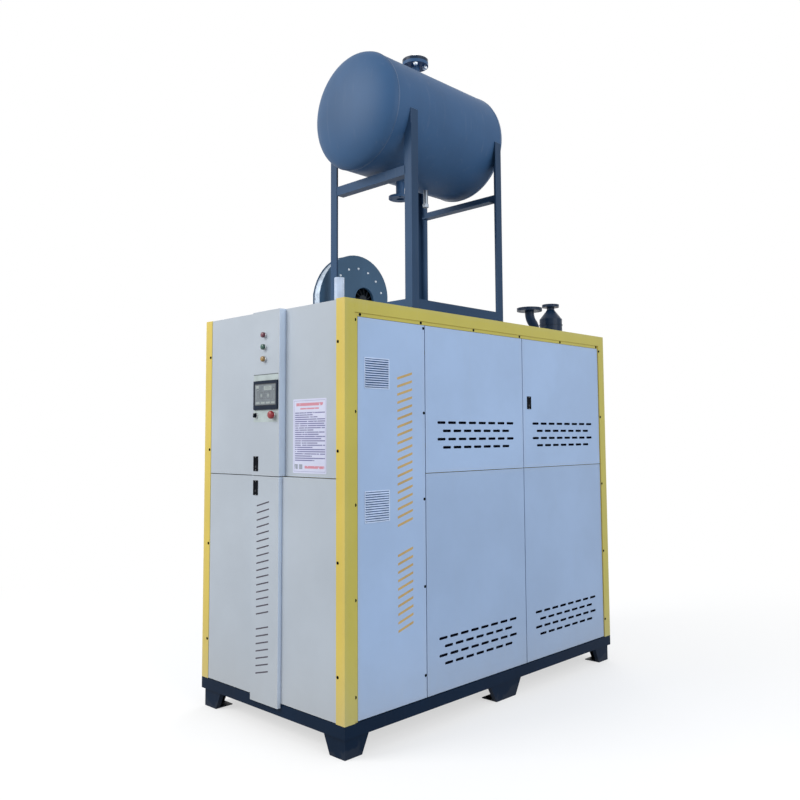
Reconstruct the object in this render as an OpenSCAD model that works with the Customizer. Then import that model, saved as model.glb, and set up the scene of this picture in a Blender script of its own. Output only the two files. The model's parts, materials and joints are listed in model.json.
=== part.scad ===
// Thermal oil heater: an enclosed electric heating skid with a roof blower
// and an expansion tank on an angle-iron stand.
// Millimetres, +Z up. The control face looks along -Y and the long panelled
// side along +X. The origin is the centre of the floor anchor holes.
// Inside corner(), x runs leftwards as negative values from the long side,
// y runs backwards from the control face and z runs up from the floor.

/* [Cabinet] */
// Width of the cabinet across its control face
cabinet_w = 1175; // [1130:1:1300]
// Length of the cabinet along its side
cabinet_l = 2290; // [2240:1:2480]
// Height of the cabinet from the floor to its roof
cabinet_h = 2100; // [2060:1:2250]
// Thickness of the panel sheets
sheet = 2; // [1.5:0.1:2.5]
// Clear gap between neighbouring panels
reveal = 4; // [3.6:0.1:6]
// Clear gap between the upright edges of the side panels
side_reveal = 6; // [4:0.1:7]
// Depth of the folded edge of a side panel
side_fold = 20; // [18:1:24]
// Depth of the folded edge of a front door
front_fold = 39.5; // [36:0.5:44]
// Set-back of the side panels behind the posts
side_recess = 6; // [4:0.5:9]
// Set-back of the upper right front panel behind the doors
front_recess = 18; // [12:1:20]
// Height of the joint between upper and lower front panels
front_split_z = 1254.5; // [1230:0.5:1275]
// Height of the joint between upper and lower side panels
side_split_z = 1262; // [1235:1:1290]
// Distance from the side to the joint between door and right panels
front_split_x = 468; // [450:1:500]
// Distance from the front to the first joint of the side panels
side_split_1 = 550; // [520:1:580]
// Distance from the front to the second joint of the side panels
side_split_2 = 1387; // [1340:1:1430]

/* [Frame] */
// Width of a post on the control face
post_front_w = 60; // [54:1:66]
// Width of a post on the long side
post_side_w = 64; // [58:1:72]
// Sheet thickness of posts and rails
post_t = 3; // [2.5:0.5:4]
// Height of the top rail along the side
rail_h = 63; // [55:1:72]
// Width of the set-back lip beside the front posts
lip_w = 21; // [17:1:24]
// Height of the set-back lip under the top rail
lip_h = 18; // [14:1:24]
// Width of the inner frame tubes
stile_w = 40; // [34:1:46]
// Depth of the inner frame tubes
stile_d = 24; // [20:1:30]
// Wall of the inner frame tubes
stile_t = 2.5; // [2:0.5:4]

/* [Base] */
// Height of the feet
foot_h = 94.5; // [80:0.5:110]
// Height of the base beams
base_beam_h = 59; // [50:1:70]
// Flange width of the base beams
base_beam_w = 60; // [50:1:70]
// Plate thickness of base and feet
base_t = 5; // [4:0.5:6]
// Set-back of the feet from the cabinet faces
foot_inset = 14; // [8:1:20]
// Length of a corner foot at its top
foot_top_w = 150; // [130:1:165]
// Length of a corner foot on the floor
foot_floor_w = 105; // [95:1:120]
// Width of the folded return of a foot
foot_return = 25; // [20:1:32]
// Length of a middle foot at its top
mid_foot_top_w = 281; // [250:1:310]
// Length of a middle foot on the floor
mid_foot_floor_w = 171; // [150:1:190]
// Distance from the front to the centre of the middle feet
mid_foot_y = 1200; // [1150:1:1240]
// Diameter of the anchor hole in each foot
anchor_hole_d = 18; // [14:1:22]

/* [Doors] */
// Width of the raised band of the front doors
band_w = 227; // [220:1:240]
// Height by which the band stands proud
band_rise = 20; // [16:1:26]
// Distance of a door's hinge pin from its outer faces
hinge_inset = 7; // [6.5:0.1:7.5]
// Radius of a hinge pin
hinge_pin_r = 2.5; // [2:0.1:3]
// Radius of a hinge knuckle
knuckle_r = 4.8; // [4.4:0.1:5]
// Length of a hinge knuckle
knuckle_l = 22; // [18:1:26]
// Distance of a hinge from the end of its door
hinge_end = 140; // [110:1:170]
// Radial play of a pin or shaft in its bore
running = 0.05; // [0.02:0.01:0.09]
// Width of a flush lock
lock_w = 40; // [36:1:44]
// Height of a flush lock
lock_h = 75; // [68:1:80]
// Depth of a flush lock behind the door skin
lock_depth = 17; // [15:1:19]

/* [Vents] */
// Length of a vent slot
slot_l = 64; // [50:1:68]
// Height of a vent slot
slot_h = 14; // [8:1:16]
// Pitch of the vent slots along a row
slot_pitch = 84; // [80:1:90]
// Pitch of the rows of vent slots
slot_row_pitch = 43; // [36:1:50]
// Number of slots in a long row
slot_count = 8; // [5:1:8]
// Height of the top row of slots in an upper panel
upper_slots_z = 1520; // [1490:1:1600]
// Height of the top row of slots in a lower panel
lower_slots_z = 423; // [400:1:500]
// Width of a louvre grille
grille_w = 166; // [150:1:180]
// Height of a louvre grille
grille_h = 150; // [140:1:165]
// Number of slats in a louvre grille
slat_count = 12; // [8:1:14]

/* [Tank] */
// Outside diameter of the expansion tank
tank_d = 630; // [610:1:650]
// Length of the straight shell of the tank
tank_l = 835; // [800:1:900]
// Depth of a dished tank head
tank_head = 106; // [90:1:130]
// Wall of the tank
tank_t = 4; // [3:0.5:6]
// Height of the tank's axis above the roof
tank_rise = 1088; // [1060:1:1120]
// Distance from the front to the middle of the tank
tank_y = 790; // [780:1:810]
// Distance from the front to the tank stand
stand_y = 455; // [445:1:465]
// Length of the tank stand
stand_l = 750; // [735:1:765]
// Leg width of the stand's angle iron
angle_w = 50; // [45:1:55]
// Thickness of the stand's angle iron
angle_t = 5; // [4:0.5:6]
// Distance of the stand's cross bars below the tank's axis
cross_bar_drop = 388; // [375:1:420]

/* [Blower] */
// Distance from the side to the blower's inlet face
blower_x = 700; // [690:1:715]
// Distance from the front to the blower's shaft
blower_y = 772; // [760:1:790]
// Height of the blower's shaft above the roof
blower_rise = 160; // [157:1:170]
// Width of the blower casing
blower_w = 60; // [56:1:70]
// Smallest radius of the scroll
scroll_r_min = 150; // [145:1:153]
// Largest radius of the scroll
scroll_r_max = 336; // [320:1:345]
// Radius of the inlet eye
eye_r = 73; // [65:1:78]
// Radius of the fan wheel
wheel_r = 128; // [115:1:132]
// Number of blades on the fan wheel
blade_count = 12; // [8:1:16]
// Diameter of the blower motor
blower_motor_d = 150; // [130:1:160]

/* [Oil circuit] */
// Distance from the side to the pump, separator and outlet axis
loop_x = 300; // [290:1:310]
// Distance from the left side to the vessel's axis
vessel_from_left = 375; // [370:1:400]
// Height of the vessel's axis
vessel_z = 1200; // [1170:1:1230]
// Outside radius of the vessel shell
vessel_r = 180; // [170:1:190]
// Outside radius of the insulation jacket
jacket_r = 240; // [230:1:250]
// Distance from the front to the vessel's flanged end
vessel_y = 760; // [750:1:775]
// Distance from the rear to the end of the vessel's straight shell
vessel_from_rear = 310; // [300:1:330]
// Height of the pump shaft
pump_z = 430; // [420:1:445]
// Outside radius of the oil pipes
pipe_r = 30; // [28:0.5:33]
// Wall of the oil pipes
pipe_t = 3; // [2.5:0.1:4]
// Bend radius of the oil pipes
bend_r = 76; // [70:1:90]
// Distance from the rear to the hot oil outlet riser
outlet_from_rear = 349; // [342:1:370]
// Distance from the rear to the oil and gas separator
separator_from_rear = 165; // [150:1:180]
// Outside radius of the separator
separator_r = 76; // [60:1:80]

/* [Hidden] */
$fn = 48;

// One overrun serves every cut.
over = 1;
// Clearance between still pieces that sit close together.
seat = 0.3;
// Gap between the base and the panels above it.
panel_seat = 4;
// Gap between a folded edge and the frame tube behind it.
seal_gap = 0.9;

base_top = foot_h + base_beam_h;
panel_floor = base_top + panel_seat;
front_top = cabinet_h - sheet;
side_top = cabinet_h - rail_h - lip_h - sheet;
front_tube_y = front_fold + seal_gap;
side_tube_x = side_recess + side_fold + seal_gap;
roof_under = cabinet_h - post_t;
tube_top = roof_under - stile_w;
frame_top = roof_under - seat;

// Front panels.
door_left = -cabinet_w + post_front_w + reveal;
door_right = -front_split_x - reveal / 2;
right_panel_left = -front_split_x + reveal / 2;
right_panel_right = -post_front_w - seat;
band_left = door_right - band_w;

// Side panels, as distances from the front.
side_first = post_side_w + lip_w + sheet;
side_last = cabinet_l - post_side_w - reveal;

// Controls on the band; their heights are shares of the upper door.
upper_door_h = cabinet_h - front_split_z;
lamp_share = 0.1502;
lamp_pitch_share = 0.0733;
switch_share = 0.6363;
display_share = 0.5157;
display_h_share = 0.175;
lamp_from_edge = 125;
lamp_top_z = cabinet_h - lamp_share * upper_door_h;
lamp_pitch = lamp_pitch_share * upper_door_h;
selector_from_edge = 193;
stop_from_edge = 44;
switch_z = cabinet_h - switch_share * upper_door_h;
switch_hole_r = 11.3;
switch_stem_r = 11;
switch_stem_l = 46;
collar_r = 14.75;
collar_bore_r = 12.3;
collar_h = 6;
lens_r = 12;
lens_dome = 4;
stop_r = 20;
stop_head_l = 14;
stop_travel = 4;
display_w = 200;
display_h = display_h_share * upper_door_h;
display_z = cabinet_h - display_share * upper_door_h;
display_rise = 8;
display_border = 10;
display_foot = 22;
display_depth = 34;
display_rear_border = 8;
lock_from_edge = 193;
lock_gap_z = 61;
side_lock_share = 0.5033;
side_lock_z = side_split_z + side_lock_share * (side_top - side_split_z);
side_lock_from_edge = 62;

// Flange sizes as radius, bolt circle radius, bolt hole radius, thickness.
main_flange = [82.5, 62.5, 9, 20];
small_flange = [57.5, 42.5, 7, 18];
cover_flange = [75, 55, 9, 18];
drain_flange = [65, 50, 7, 14];
pump_flange = [82.5, 62.5, 9, 18];
flange_hole_count = 4;

// Tank and stand.
tank_r = tank_d / 2;
stand_w = tank_d + angle_t;
tank_x = -stand_w / 2;
tank_z = cabinet_h + tank_rise;
leg_top_share = 0.14;
leg_top = tank_z - tank_r * leg_top_share;
cross_bar_h = 50;
cross_bar_rise = tank_rise - cross_bar_drop;
nozzle_r = 24;
nozzle_t = 3;
top_nozzle_y = 823;
top_nozzle_l = 82;
bottom_nozzle_y = 693;
bottom_nozzle_l = 84;
tank_drain_y = 903;
tank_drain_r = 13;
tank_drain_l = 84;
drain_plug_r = 18;
drain_plug_h = 20;

// Blower.
scroll_start = -110;
scroll_growth = 1.75;
scroll_step = 7.25;
scroll_t = 2;
plate_t = 3;
plate_rim = 6;
blower_bolt_circle_r = 198;
blower_bolt_shift = [-48, -18];
blower_bolt_count = 16;
bolt_head_r = 6;
bolt_head_h = 5;
fan_shaft_r = 12;
wheel_depth = 36;
blade_t = 2.5;
hub_r = 30;
motor_gap = 4;
blower_motor_l = 210;
conduit_x = 144;
conduit_y = 92;
conduit_r = 24;
conduit_h = 122;
conduit_t = 3;

// Vessel, pump and pipes.
vessel_x = -cabinet_w + vessel_from_left;
vessel_y1 = cabinet_l - vessel_from_rear;
vessel_l = vessel_y1 - vessel_y;
outlet_y = cabinet_l - outlet_from_rear;
separator_y = cabinet_l - separator_from_rear;
vessel_t = 8;
vessel_dish = 60;
vessel_flange_r = 235;
vessel_flange_t = 25;
nozzle_beyond_jacket = 20;
pump_discharge_y = 1460;
pump_r = 150;
pump_w = 120;
pump_feet_w = 200;
bed_t = 12;
bed_x0 = 430;
bed_x1 = 170;
bed_y0 = 690;
bed_y1 = 1640;
shaft_r = 14;
coupling_r = 50;
motor_r = 120;
motor_l = 360;
motor_y = 725;
pump_motor_gap = 1;
rotor_w = 18;
rotor_r = 105;
valve_z = 920;
valve_l = 200;
valve_r = 48;
bonnet_r = 24;
bonnet_l = 110;
stem_r = 8;
wheel_ring_r = 70;
wheel_rod_r = 8;
wheel_stand_off = 45;
saddle_inset = [200, 220];
saddle_y = [vessel_y + saddle_inset[0], vessel_y1 - saddle_inset[1]];
saddle_tube = 50;
saddle_t = 10;
saddle_reach = 170;
cross_member_w = 60;
separator_rise = 135;
separator_top = cabinet_h + separator_rise;
separator_cone = 64;
separator_neck_r = 26;
separator_t = 5;
separator_bead = 3;
return_z = 1600;
return_above_bottom = 150;
separator_bottom = return_z - return_above_bottom;
return_beyond = 90;
suction_r = 38;
suction_bend = 95;
swan_angle = 53;
swan_start = 32;
outlet_over_share = 0.315;
outlet_over_low = vessel_z + jacket_r + nozzle_beyond_jacket + bend_r;
outlet_over_z = outlet_over_low
  + outlet_over_share * (cabinet_h + swan_start - bend_r - outlet_over_low);

// Switchgear.
gear_plate_t = 3;
gear_side_gap = 130;
gear_above_base = 116.5;
gear_below_top = 160;
gear_z0 = base_top + gear_above_base;
gear_z1 = cabinet_h - gear_below_top;
stud_r = 8;
duct_w = 40;
duct_d = 60;
duct_in = 60;
duct_count = 5;
duct_pitch = (gear_z1 - gear_z0 - 2 * duct_in) / (duct_count - 1);
mount_rail_h = 35;
mount_rail_d = 8;
rail_device_w = 54;
rail_device_h = 90;
rail_device_d = 66;
rail_device_count = 10;
rail_device_pitch = 72;

// Small fittings and play.
post_return = 20;
notch_play = 2;
arm_w = 5;
pin_end = 2;
lock_rim = 3;
lock_proud = 2;
lock_pocket = 7;
lever_end = 8;
lever_play = 0.5;
lever_t = 5;
lever_pin_r = 1.5;
lever_pin_l = 32;
lever_pin_y = 1.5;
lever_pin_z = lock_h / 2 - lever_end - lever_t / 2 - lever_play;
band_overhang = 22;
screw_r = 2;
screw_head_r = 5;
screw_head_h = 2.5;
screw_l = 12;
post_screw_count = 4;
post_screw_top = 205;
post_screw_low = 208.5;
post_screw_pitch = (cabinet_h - post_screw_top - post_screw_low - base_top) / (post_screw_count - 1);
post_screw_in = 12;
side_screw_count = 5;
side_screw_first = 112;
side_screw_last = 15.5;
side_screw_pitch = (side_top - side_screw_last - side_screw_first - base_top) / (side_screw_count - 1);
lip_screw_in = 7;
top_screw_count = 6;
top_screw_first = 14;
louvre_screw_in = 8;
slot_rows = 4;
grille_y = 211;
grille_share = [0.858, 0.517];
grille_z = [for (share = grille_share) panel_floor + share * (side_top - panel_floor)];
grille_rim = 8;
grille_t = 6;
slat_angle = 38;
slat_depth = 6.4;
slat_t = 1.5;
display_from_edge = 109;
display_head = 16;
display_pocket = 3;
display_glass = 2;
lens_foot = 2;
selector_grip_w = 7;
selector_grip_h = 20;
stop_dome = 6;
bed_member_y = (saddle_y[0] + saddle_y[1]) / 2;
bearer_y = [416, 1180, 1640];
cable_hole_r = 40;
roof_hole_play = 8;
wheel_back = 6;
blade_sweep = 35;
blade_share = 0.68;
blade_root_share = 0.7;
foot_share = 0.8;
foot_plate_t = 6;
conduit_below = 30;
throat_notch = 60;
neck_inside = 6;
bolt_head_share = 1.6;
blower_bolt_last = 9;
jacket_end_t = 10;
element_count = 6;
element_pitch = 46;
element_r = 8;
element_half = 50;
element_free = 170;
element_l = vessel_l - element_free;
box_half = 165;
box_depth = 135;
cradle_below = 30;
cradle_share = 0.55;
suction_l = 80;
discharge_rise = 230;
pump_wall = 20;
bracket_r = 60;
bracket_l = 190;
coupling_in = 24;
coupling_l = 60;
motor_cowl_share = 0.94;
motor_cowl_l = 30;
motor_foot_in = 40;
motor_box_w = 120;
motor_box_h = 40;
swan_stub = 12;
bead_rise = 92;
neck_l = 18;
gear_stand_off = 10;
gear_stud_in = 20;

// A block between two corners.
module block(lo, hi) {
  translate(lo) cube(hi - lo);
}

// Places children at the corner between control face and long side.
module corner() {
  translate([cabinet_w / 2, -cabinet_l / 2, 0]) children();
}

// Repeats children mirrored on the other long side.
module both_sides() {
  children();
  translate([-cabinet_w, 0, 0]) mirror([1, 0, 0]) children();
}

// Places children at one of the four cabinet corners, growing inwards.
module at_corner(right, rear) {
  translate([right ? 0 : -cabinet_w, rear ? cabinet_l : 0, 0])
    mirror([right ? 1 : 0, 0, 0])
      mirror([0, rear ? 1 : 0, 0]) children();
}

// A cylinder along X from x0 to x1.
module rod_x(r, x0, x1, y, z) {
  translate([x0, y, z]) rotate([0, 90, 0]) cylinder(r = r, h = x1 - x0);
}

// A cylinder along Y from y0 to y1.
module rod_y(r, y0, y1, x, z) {
  translate([x, y0, z]) rotate([-90, 0, 0]) cylinder(r = r, h = y1 - y0);
}

// A rectangular tube, open at both ends along the named axis.
module frame_tube(lo, hi, axis) {
  along = [axis == 0 ? 1 : 0, axis == 1 ? 1 : 0, axis == 2 ? 1 : 0];
  wall = [for (i = [0:2]) along[i] == 1 ? -over : stile_t];
  difference() {
    block(lo, hi);
    block(lo + wall, hi - wall);
  }
}

// A folded sheet tray seen from outside, open at its back, along X and Z.
module tray_front(x0, x1, y0, y1, z0, z1) {
  difference() {
    block([x0, y0, z0], [x1, y1, z1]);
    block([x0 + sheet, y0 + sheet, z0 + sheet], [x1 - sheet, y1 + over, z1 - sheet]);
  }
}

// A folded sheet tray on the long side, open at its back, along Y and Z.
module tray_side(y0, y1, z0, z1) {
  x0 = -side_recess;
  x1 = -side_recess - side_fold;
  difference() {
    block([x1, y0, z0], [x0, y1, z1]);
    block([x1 - over, y0 + sheet, z0 + sheet], [x0 - sheet, y1 - sheet, z1 - sheet]);
  }
}

// Flange ring with its bolt holes, from z = 0 upwards; f is a flange size.
module flange(f, bore_r) {
  difference() {
    cylinder(r = f[0], h = f[3]);
    if (bore_r > 0) translate([0, 0, -over]) cylinder(r = bore_r, h = f[3] + 2 * over);
    for (i = [0:flange_hole_count - 1])
      rotate([0, 0, 360 / flange_hole_count * (i + 0.5)])
        translate([f[1], 0, -over]) cylinder(r = f[2], h = f[3] + 2 * over);
  }
}

// Points of a dished head's quarter outline.
function dish(r, depth) = [for (i = [0:16]) [r * cos(i * 90 / 16), depth * sin(i * 90 / 16)]];

// Solid dished head standing on z = 0.
module dished_solid(r, depth) {
  rotate_extrude($fn = 96) polygon(concat([[0, 0]], dish(r, depth)));
}

// One foot wall on y = 0 with a slanted return, along +X.
module foot_wall(top_l, floor_l) {
  translate([0, base_t, 0]) rotate([90, 0, 0]) linear_extrude(base_t)
    polygon([[0, 0], [floor_l, 0], [top_l, foot_h], [0, foot_h]]);
  translate([0, foot_return, 0]) rotate([90, 0, 0]) linear_extrude(foot_return)
    polygon([[floor_l - base_t, 0], [floor_l, 0], [top_l, foot_h], [top_l - base_t, foot_h]]);
}

// Floor plate of a foot with its anchor hole in the middle.
module foot_pad(w, l) {
  difference() {
    cube([w, l, base_t]);
    translate([w / 2, l / 2, -over]) cylinder(d = anchor_hole_d, h = base_t + 2 * over);
  }
}

// Channel ring of the base, open inwards.
module base_ring() {
  difference() {
    block([-cabinet_w, 0, foot_h], [0, cabinet_l, base_top]);
    block([-cabinet_w + base_beam_w, base_beam_w, foot_h - over],
          [-base_beam_w, cabinet_l - base_beam_w, base_top + over]);
    block([-cabinet_w + base_t, base_t, foot_h + base_t],
          [-base_t, cabinet_l - base_t, base_top - base_t]);
  }
}

// Channel across the base, open downwards.
module base_member(y) {
  x0 = -cabinet_w + base_beam_w + seat;
  x1 = -base_beam_w - seat;
  difference() {
    block([x0, y - cross_member_w / 2, foot_h], [x1, y + cross_member_w / 2, base_top]);
    block([x0 - over, y - cross_member_w / 2 + base_t, foot_h - over],
          [x1 + over, y + cross_member_w / 2 - base_t, base_top - base_t]);
  }
}

module base_frame() {
  color("#1d2a38") corner() {
    difference() {
      base_ring();
      for (right = [false, true], rear = [false, true])
        at_corner(right, rear) rotate([0, 0, 45])
          translate([-base_beam_w, -seat / 2, foot_h - over])
            cube([3 * base_beam_w, seat, base_beam_h + 2 * over]);
    }
    for (y = [side_split_1, saddle_y[0], bed_member_y, saddle_y[1]]) base_member(y);
  }
}

module feet() {
  color("#1d2a38") corner() {
    for (right = [false, true], rear = [false, true])
      at_corner(right, rear) translate([foot_inset, foot_inset, 0]) {
        foot_wall(foot_top_w, foot_floor_w);
        mirror([1, -1, 0]) foot_wall(foot_top_w, foot_floor_w);
        foot_pad(foot_floor_w, foot_floor_w);
      }
    both_sides() translate([-foot_inset, mid_foot_y, 0]) rotate([0, 0, 90]) {
      foot_wall(mid_foot_top_w / 2, mid_foot_floor_w / 2);
      mirror([1, 0, 0]) foot_wall(mid_foot_top_w / 2, mid_foot_floor_w / 2);
      translate([-mid_foot_floor_w / 2, 0, 0]) foot_pad(mid_foot_floor_w, foot_floor_w);
    }
  }
}

// Post profile with the outer corner at the origin.
module post_profile() {
  square([post_front_w, post_t]);
  square([post_t, post_side_w]);
  translate([0, post_side_w - post_t]) square([side_recess + post_t, post_t]);
  translate([post_front_w - post_t, 0]) square([post_t, post_return]);
}

module corner_post(lip) {
  translate([0, 0, base_top]) linear_extrude(cabinet_h - base_top) post_profile();
  if (lip)
    block([side_recess, post_side_w - post_t, base_top],
          [side_recess + post_t, post_side_w + lip_w, cabinet_h - rail_h - lip_h]);
  block([0, 0, roof_under], [post_front_w, post_side_w, cabinet_h]);
}

// Top rail of the long side with its set-back lip.
module side_rail() {
  y0 = post_side_w + seat;
  y1 = cabinet_l - post_side_w - seat;
  z0 = cabinet_h - rail_h;
  block([-post_side_w, y0, roof_under], [0, y1, cabinet_h]);
  block([-post_t, y0, z0], [0, y1, cabinet_h]);
  block([-side_recess - post_t, y0, z0], [0, y1, z0 + post_t]);
  block([-side_recess - post_t, y0 + lip_w, z0 - lip_h], [-side_recess, y1, z0 + post_t]);
  block([-side_recess - post_t, y0, z0 - lip_h + seat], [-side_recess, y1, z0 + post_t]);
}

// Inner frame tubes behind an end face whose panels meet at split.
module end_tubes(split) {
  y0 = front_tube_y;
  y1 = front_tube_y + stile_d;
  edge = side_recess + post_t + seat;
  left = -cabinet_w + post_front_w;
  frame_tube([-cabinet_w + edge, y0, tube_top], [-edge, y1, frame_top], 0);
  for (x = [left, -split - stile_w / 2, -post_front_w - stile_w])
    frame_tube([x, y0, base_top], [x + stile_w, y1, tube_top - seat], 2);
  for (span = [[left + stile_w, -split - stile_w / 2],
               [-split + stile_w / 2, -post_front_w - stile_w]])
    frame_tube([span[0] + seat, y0, front_split_z - stile_w / 2],
               [span[1] - seat, y1, front_split_z + stile_w / 2], 0);
}

// Inner frame tubes behind the panels of a long side.
module side_tubes() {
  x0 = -side_tube_x - stile_d;
  x1 = -side_tube_x;
  last = cabinet_l - front_tube_y - stile_d - stile_w - seat;
  for (y = [side_first, side_split_1 - stile_w / 2, side_split_2 - stile_w / 2, last])
    frame_tube([x0, y, base_top], [x1, y + stile_w, frame_top], 2);
  for (span = [[side_split_1 + stile_w / 2, side_split_2 - stile_w / 2],
               [side_split_2 + stile_w / 2, last]])
    frame_tube([x0, span[0] + seat, side_split_z - stile_w / 2],
               [x1, span[1] - seat, side_split_z + stile_w / 2], 1);
}

// Screws of the posts and lips, as rods of a radius between two depths.
module frame_screws(r, d0, d1) {
  for (i = [0:post_screw_count - 1]) {
    z = cabinet_h - post_screw_top - i * post_screw_pitch;
    for (x = [-post_front_w + post_screw_in, -cabinet_w + post_front_w - post_screw_in])
      rod_y(r, d0, d1, x, z);
  }
  both_sides() {
    for (i = [0:side_screw_count - 1]) {
      z = base_top + side_screw_first + i * side_screw_pitch;
      rod_x(r, -side_recess - d1, -side_recess - d0, post_side_w + lip_screw_in, z);
      rod_x(r, -d1, -d0, cabinet_l - post_side_w + lip_screw_in, z);
    }
    for (i = [0:top_screw_count - 1])
      rod_x(r, -side_recess - d1, -side_recess - d0,
            side_first + top_screw_first + i * (side_last - side_first - 2 * top_screw_first)
            / (top_screw_count - 1), cabinet_h - rail_h - lip_h / 2);
  }
}

// Screws along the rear edge of the louvre panels.
module louvre_screws(r, d0, d1) {
  both_sides() for (i = [0:side_screw_count - 1])
    rod_x(r, -side_recess - d1, -side_recess - d0, side_split_1 - side_reveal / 2 - louvre_screw_in,
          base_top + side_screw_first + i * side_screw_pitch);
}

module cabinet_frame() {
  color("#e6c23a") corner() difference() {
    union() {
      for (right = [false, true], rear = [false, true])
        at_corner(right, rear) corner_post(!rear);
      both_sides() side_rail();
      end_tubes(front_split_x);
      translate([0, cabinet_l, 0]) mirror([0, 1, 0]) end_tubes(cabinet_w / 2);
      both_sides() side_tubes();
      for (y = bearer_y)
        frame_tube([-cabinet_w + post_t + seat, y - stile_w / 2, tube_top],
                   [-post_t - seat, y + stile_w / 2, frame_top], 0);
    }
    frame_screws(screw_r + seat, -over, post_t + over);
  }
}

module roof_panel() {
  z0 = roof_under - over;
  h = post_t + 2 * over;
  color("#aab4bd") corner() difference() {
    block([-cabinet_w + post_side_w + seal_gap, front_tube_y, roof_under],
          [-post_side_w - seal_gap, cabinet_l - front_tube_y, cabinet_h]);
    translate([-loop_x, outlet_y, z0]) cylinder(r = pipe_r + roof_hole_play, h = h);
    translate([-loop_x, separator_y, z0]) cylinder(r = separator_r + seat, h = h);
    translate([-conduit_x, conduit_y, z0]) cylinder(r = conduit_r + seat, h = h);
    block([-blower_x - blower_w + plate_t + scroll_t, blower_y - scroll_r_max + scroll_t, z0],
          [-blower_x - plate_t - scroll_t, blower_y + scroll_at(scroll_start)[0] - scroll_t, z0 + h]);
  }
}

module partition_wall() {
  y1 = side_split_1 - stile_w / 2;
  color("#aab4bd") corner() difference() {
    block([-cabinet_w + side_tube_x, y1 - sheet, base_top], [-side_tube_x, y1, roof_under]);
    rod_y(cable_hole_r, y1 - sheet - over, y1 + over, vessel_x, vessel_z);
    block([-blower_x - blower_w, y1 - sheet - over, roof_under - throat_notch],
          [-blower_x, y1 + over, roof_under + over]);
  }
}

// Local hinge frame: pin axis at the origin, door corner at negative x and y.
module door_knuckles(zs) {
  for (z = zs, up = [0, 1])
    translate([0, 0, z + (up == 1 ? knuckle_l / 2 + seal_gap : -knuckle_l * 3 / 2 - seal_gap)])
      difference() {
        union() {
          cylinder(r = knuckle_r, h = knuckle_l);
          block([-hinge_inset + sheet, -hinge_inset + sheet, 0], [0, 0, knuckle_l]);
        }
        translate([0, 0, -over]) cylinder(r = hinge_pin_r + running, h = knuckle_l + 2 * over);
      }
}

// Openings in the folded edge that let the hinge arms pass.
module hinge_notches(zs, depth) {
  for (z = zs)
    block([-hinge_inset - over, -hinge_inset + sheet, z - knuckle_l / 2 - notch_play],
          [-hinge_inset + sheet + over, depth, z + knuckle_l / 2 + notch_play]);
}

// How much shorter the fold beside a hinge is, so that its corner swings clear.
function fold_relief(fold) =
  fold - hinge_inset - sqrt(pow(fold - hinge_inset, 2) - pow(hinge_inset, 2));

module hinge_relief(z0, z1, fold) {
  block([-hinge_inset - over, fold - hinge_inset - fold_relief(fold), z0 - over],
        [-hinge_inset / 2, fold, z1 + over]);
}

module hinge_arm(zs, depth) {
  for (z = zs) translate([0, 0, z - knuckle_l / 2]) difference() {
    union() {
      cylinder(r = knuckle_r, h = knuckle_l);
      block([-arm_w / 2, 0, 0], [arm_w / 2, depth, knuckle_l]);
    }
    translate([0, 0, -over]) cylinder(r = hinge_pin_r + running, h = knuckle_l + 2 * over);
  }
}

module hinge_pin_set(zs) {
  l = 3 * knuckle_l + 2 * seal_gap + 2 * pin_end;
  for (z = zs) translate([0, 0, z - l / 2]) cylinder(r = hinge_pin_r, h = l);
}

module front_hinge_place() {
  translate([door_left + hinge_inset, hinge_inset, 0]) children();
}

module side_front_hinge_place() {
  translate([-side_recess - hinge_inset, side_split_1 + side_reveal / 2 + hinge_inset, 0])
    rotate([0, 0, 90]) children();
}

module side_rear_hinge_place() {
  translate([-side_recess - hinge_inset, side_last - hinge_inset, 0])
    rotate([0, 0, 90]) mirror([1, 0, 0]) children();
}

upper_hinges = [front_split_z + reveal / 2 + hinge_end, front_top - hinge_end];
lower_hinges = [panel_floor + hinge_end, front_split_z - reveal / 2 - hinge_end];
side_hinges = [side_split_z + reveal / 2 + hinge_end, side_top - hinge_end];

// Hole in a skin for the body of a flush lock, in the lock's own frame.
module lock_hole() {
  block([-lock_w / 2 + lock_rim - seat, -over, -lock_h / 2 + lock_rim - seat],
        [lock_w / 2 - lock_rim + seat, sheet + over, lock_h / 2 - lock_rim + seat]);
}

// Front door with the raised band along its closing edge.
module banded_door(z0, z1, band_z0, hinge_z, lock_z) {
  difference() {
    union() {
      block([door_left, 0, z0], [door_right, front_fold, z1]);
      block([band_left, -band_rise, z0], [door_right, sheet, z1]);
      block([band_left, -band_rise, band_z0], [door_right, -over, z0 + sheet]);
    }
    block([door_left + sheet, sheet, z0 + sheet], [door_right - sheet, front_fold + over, z1 - sheet]);
    block([band_left + sheet, -band_rise + sheet, band_z0 + sheet],
          [door_right - sheet, sheet + over, z1 - sheet]);
    front_hinge_place() {
      hinge_notches(hinge_z, front_fold);
      hinge_relief(z0, z1, front_fold);
    }
    translate([door_right - lock_from_edge, -band_rise, lock_z]) lock_hole();
  }
  front_hinge_place() door_knuckles(hinge_z);
}

module front_upper_door() {
  z0 = front_split_z + reveal / 2;
  y0 = -band_rise - over;
  y1 = -band_rise + sheet + over;
  x = door_right - display_from_edge;
  half_w = display_w / 2 - display_rear_border + seat;
  half_h = display_h / 2 - display_rear_border + seat;
  color("#c5cfd8") corner() difference() {
    banded_door(z0, front_top, z0, upper_hinges, front_split_z + lock_gap_z);
    block([x - half_w, y0, display_z - half_h], [x + half_w, y1, display_z + half_h]);
    for (p = switch_places) rod_y(switch_hole_r, y0, y1, p[0], p[1]);
  }
}

module front_lower_door() {
  color("#c5cfd8") corner()
    banded_door(panel_floor, front_split_z - reveal / 2, panel_floor - band_overhang,
                lower_hinges, front_split_z - lock_gap_z);
}

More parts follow.
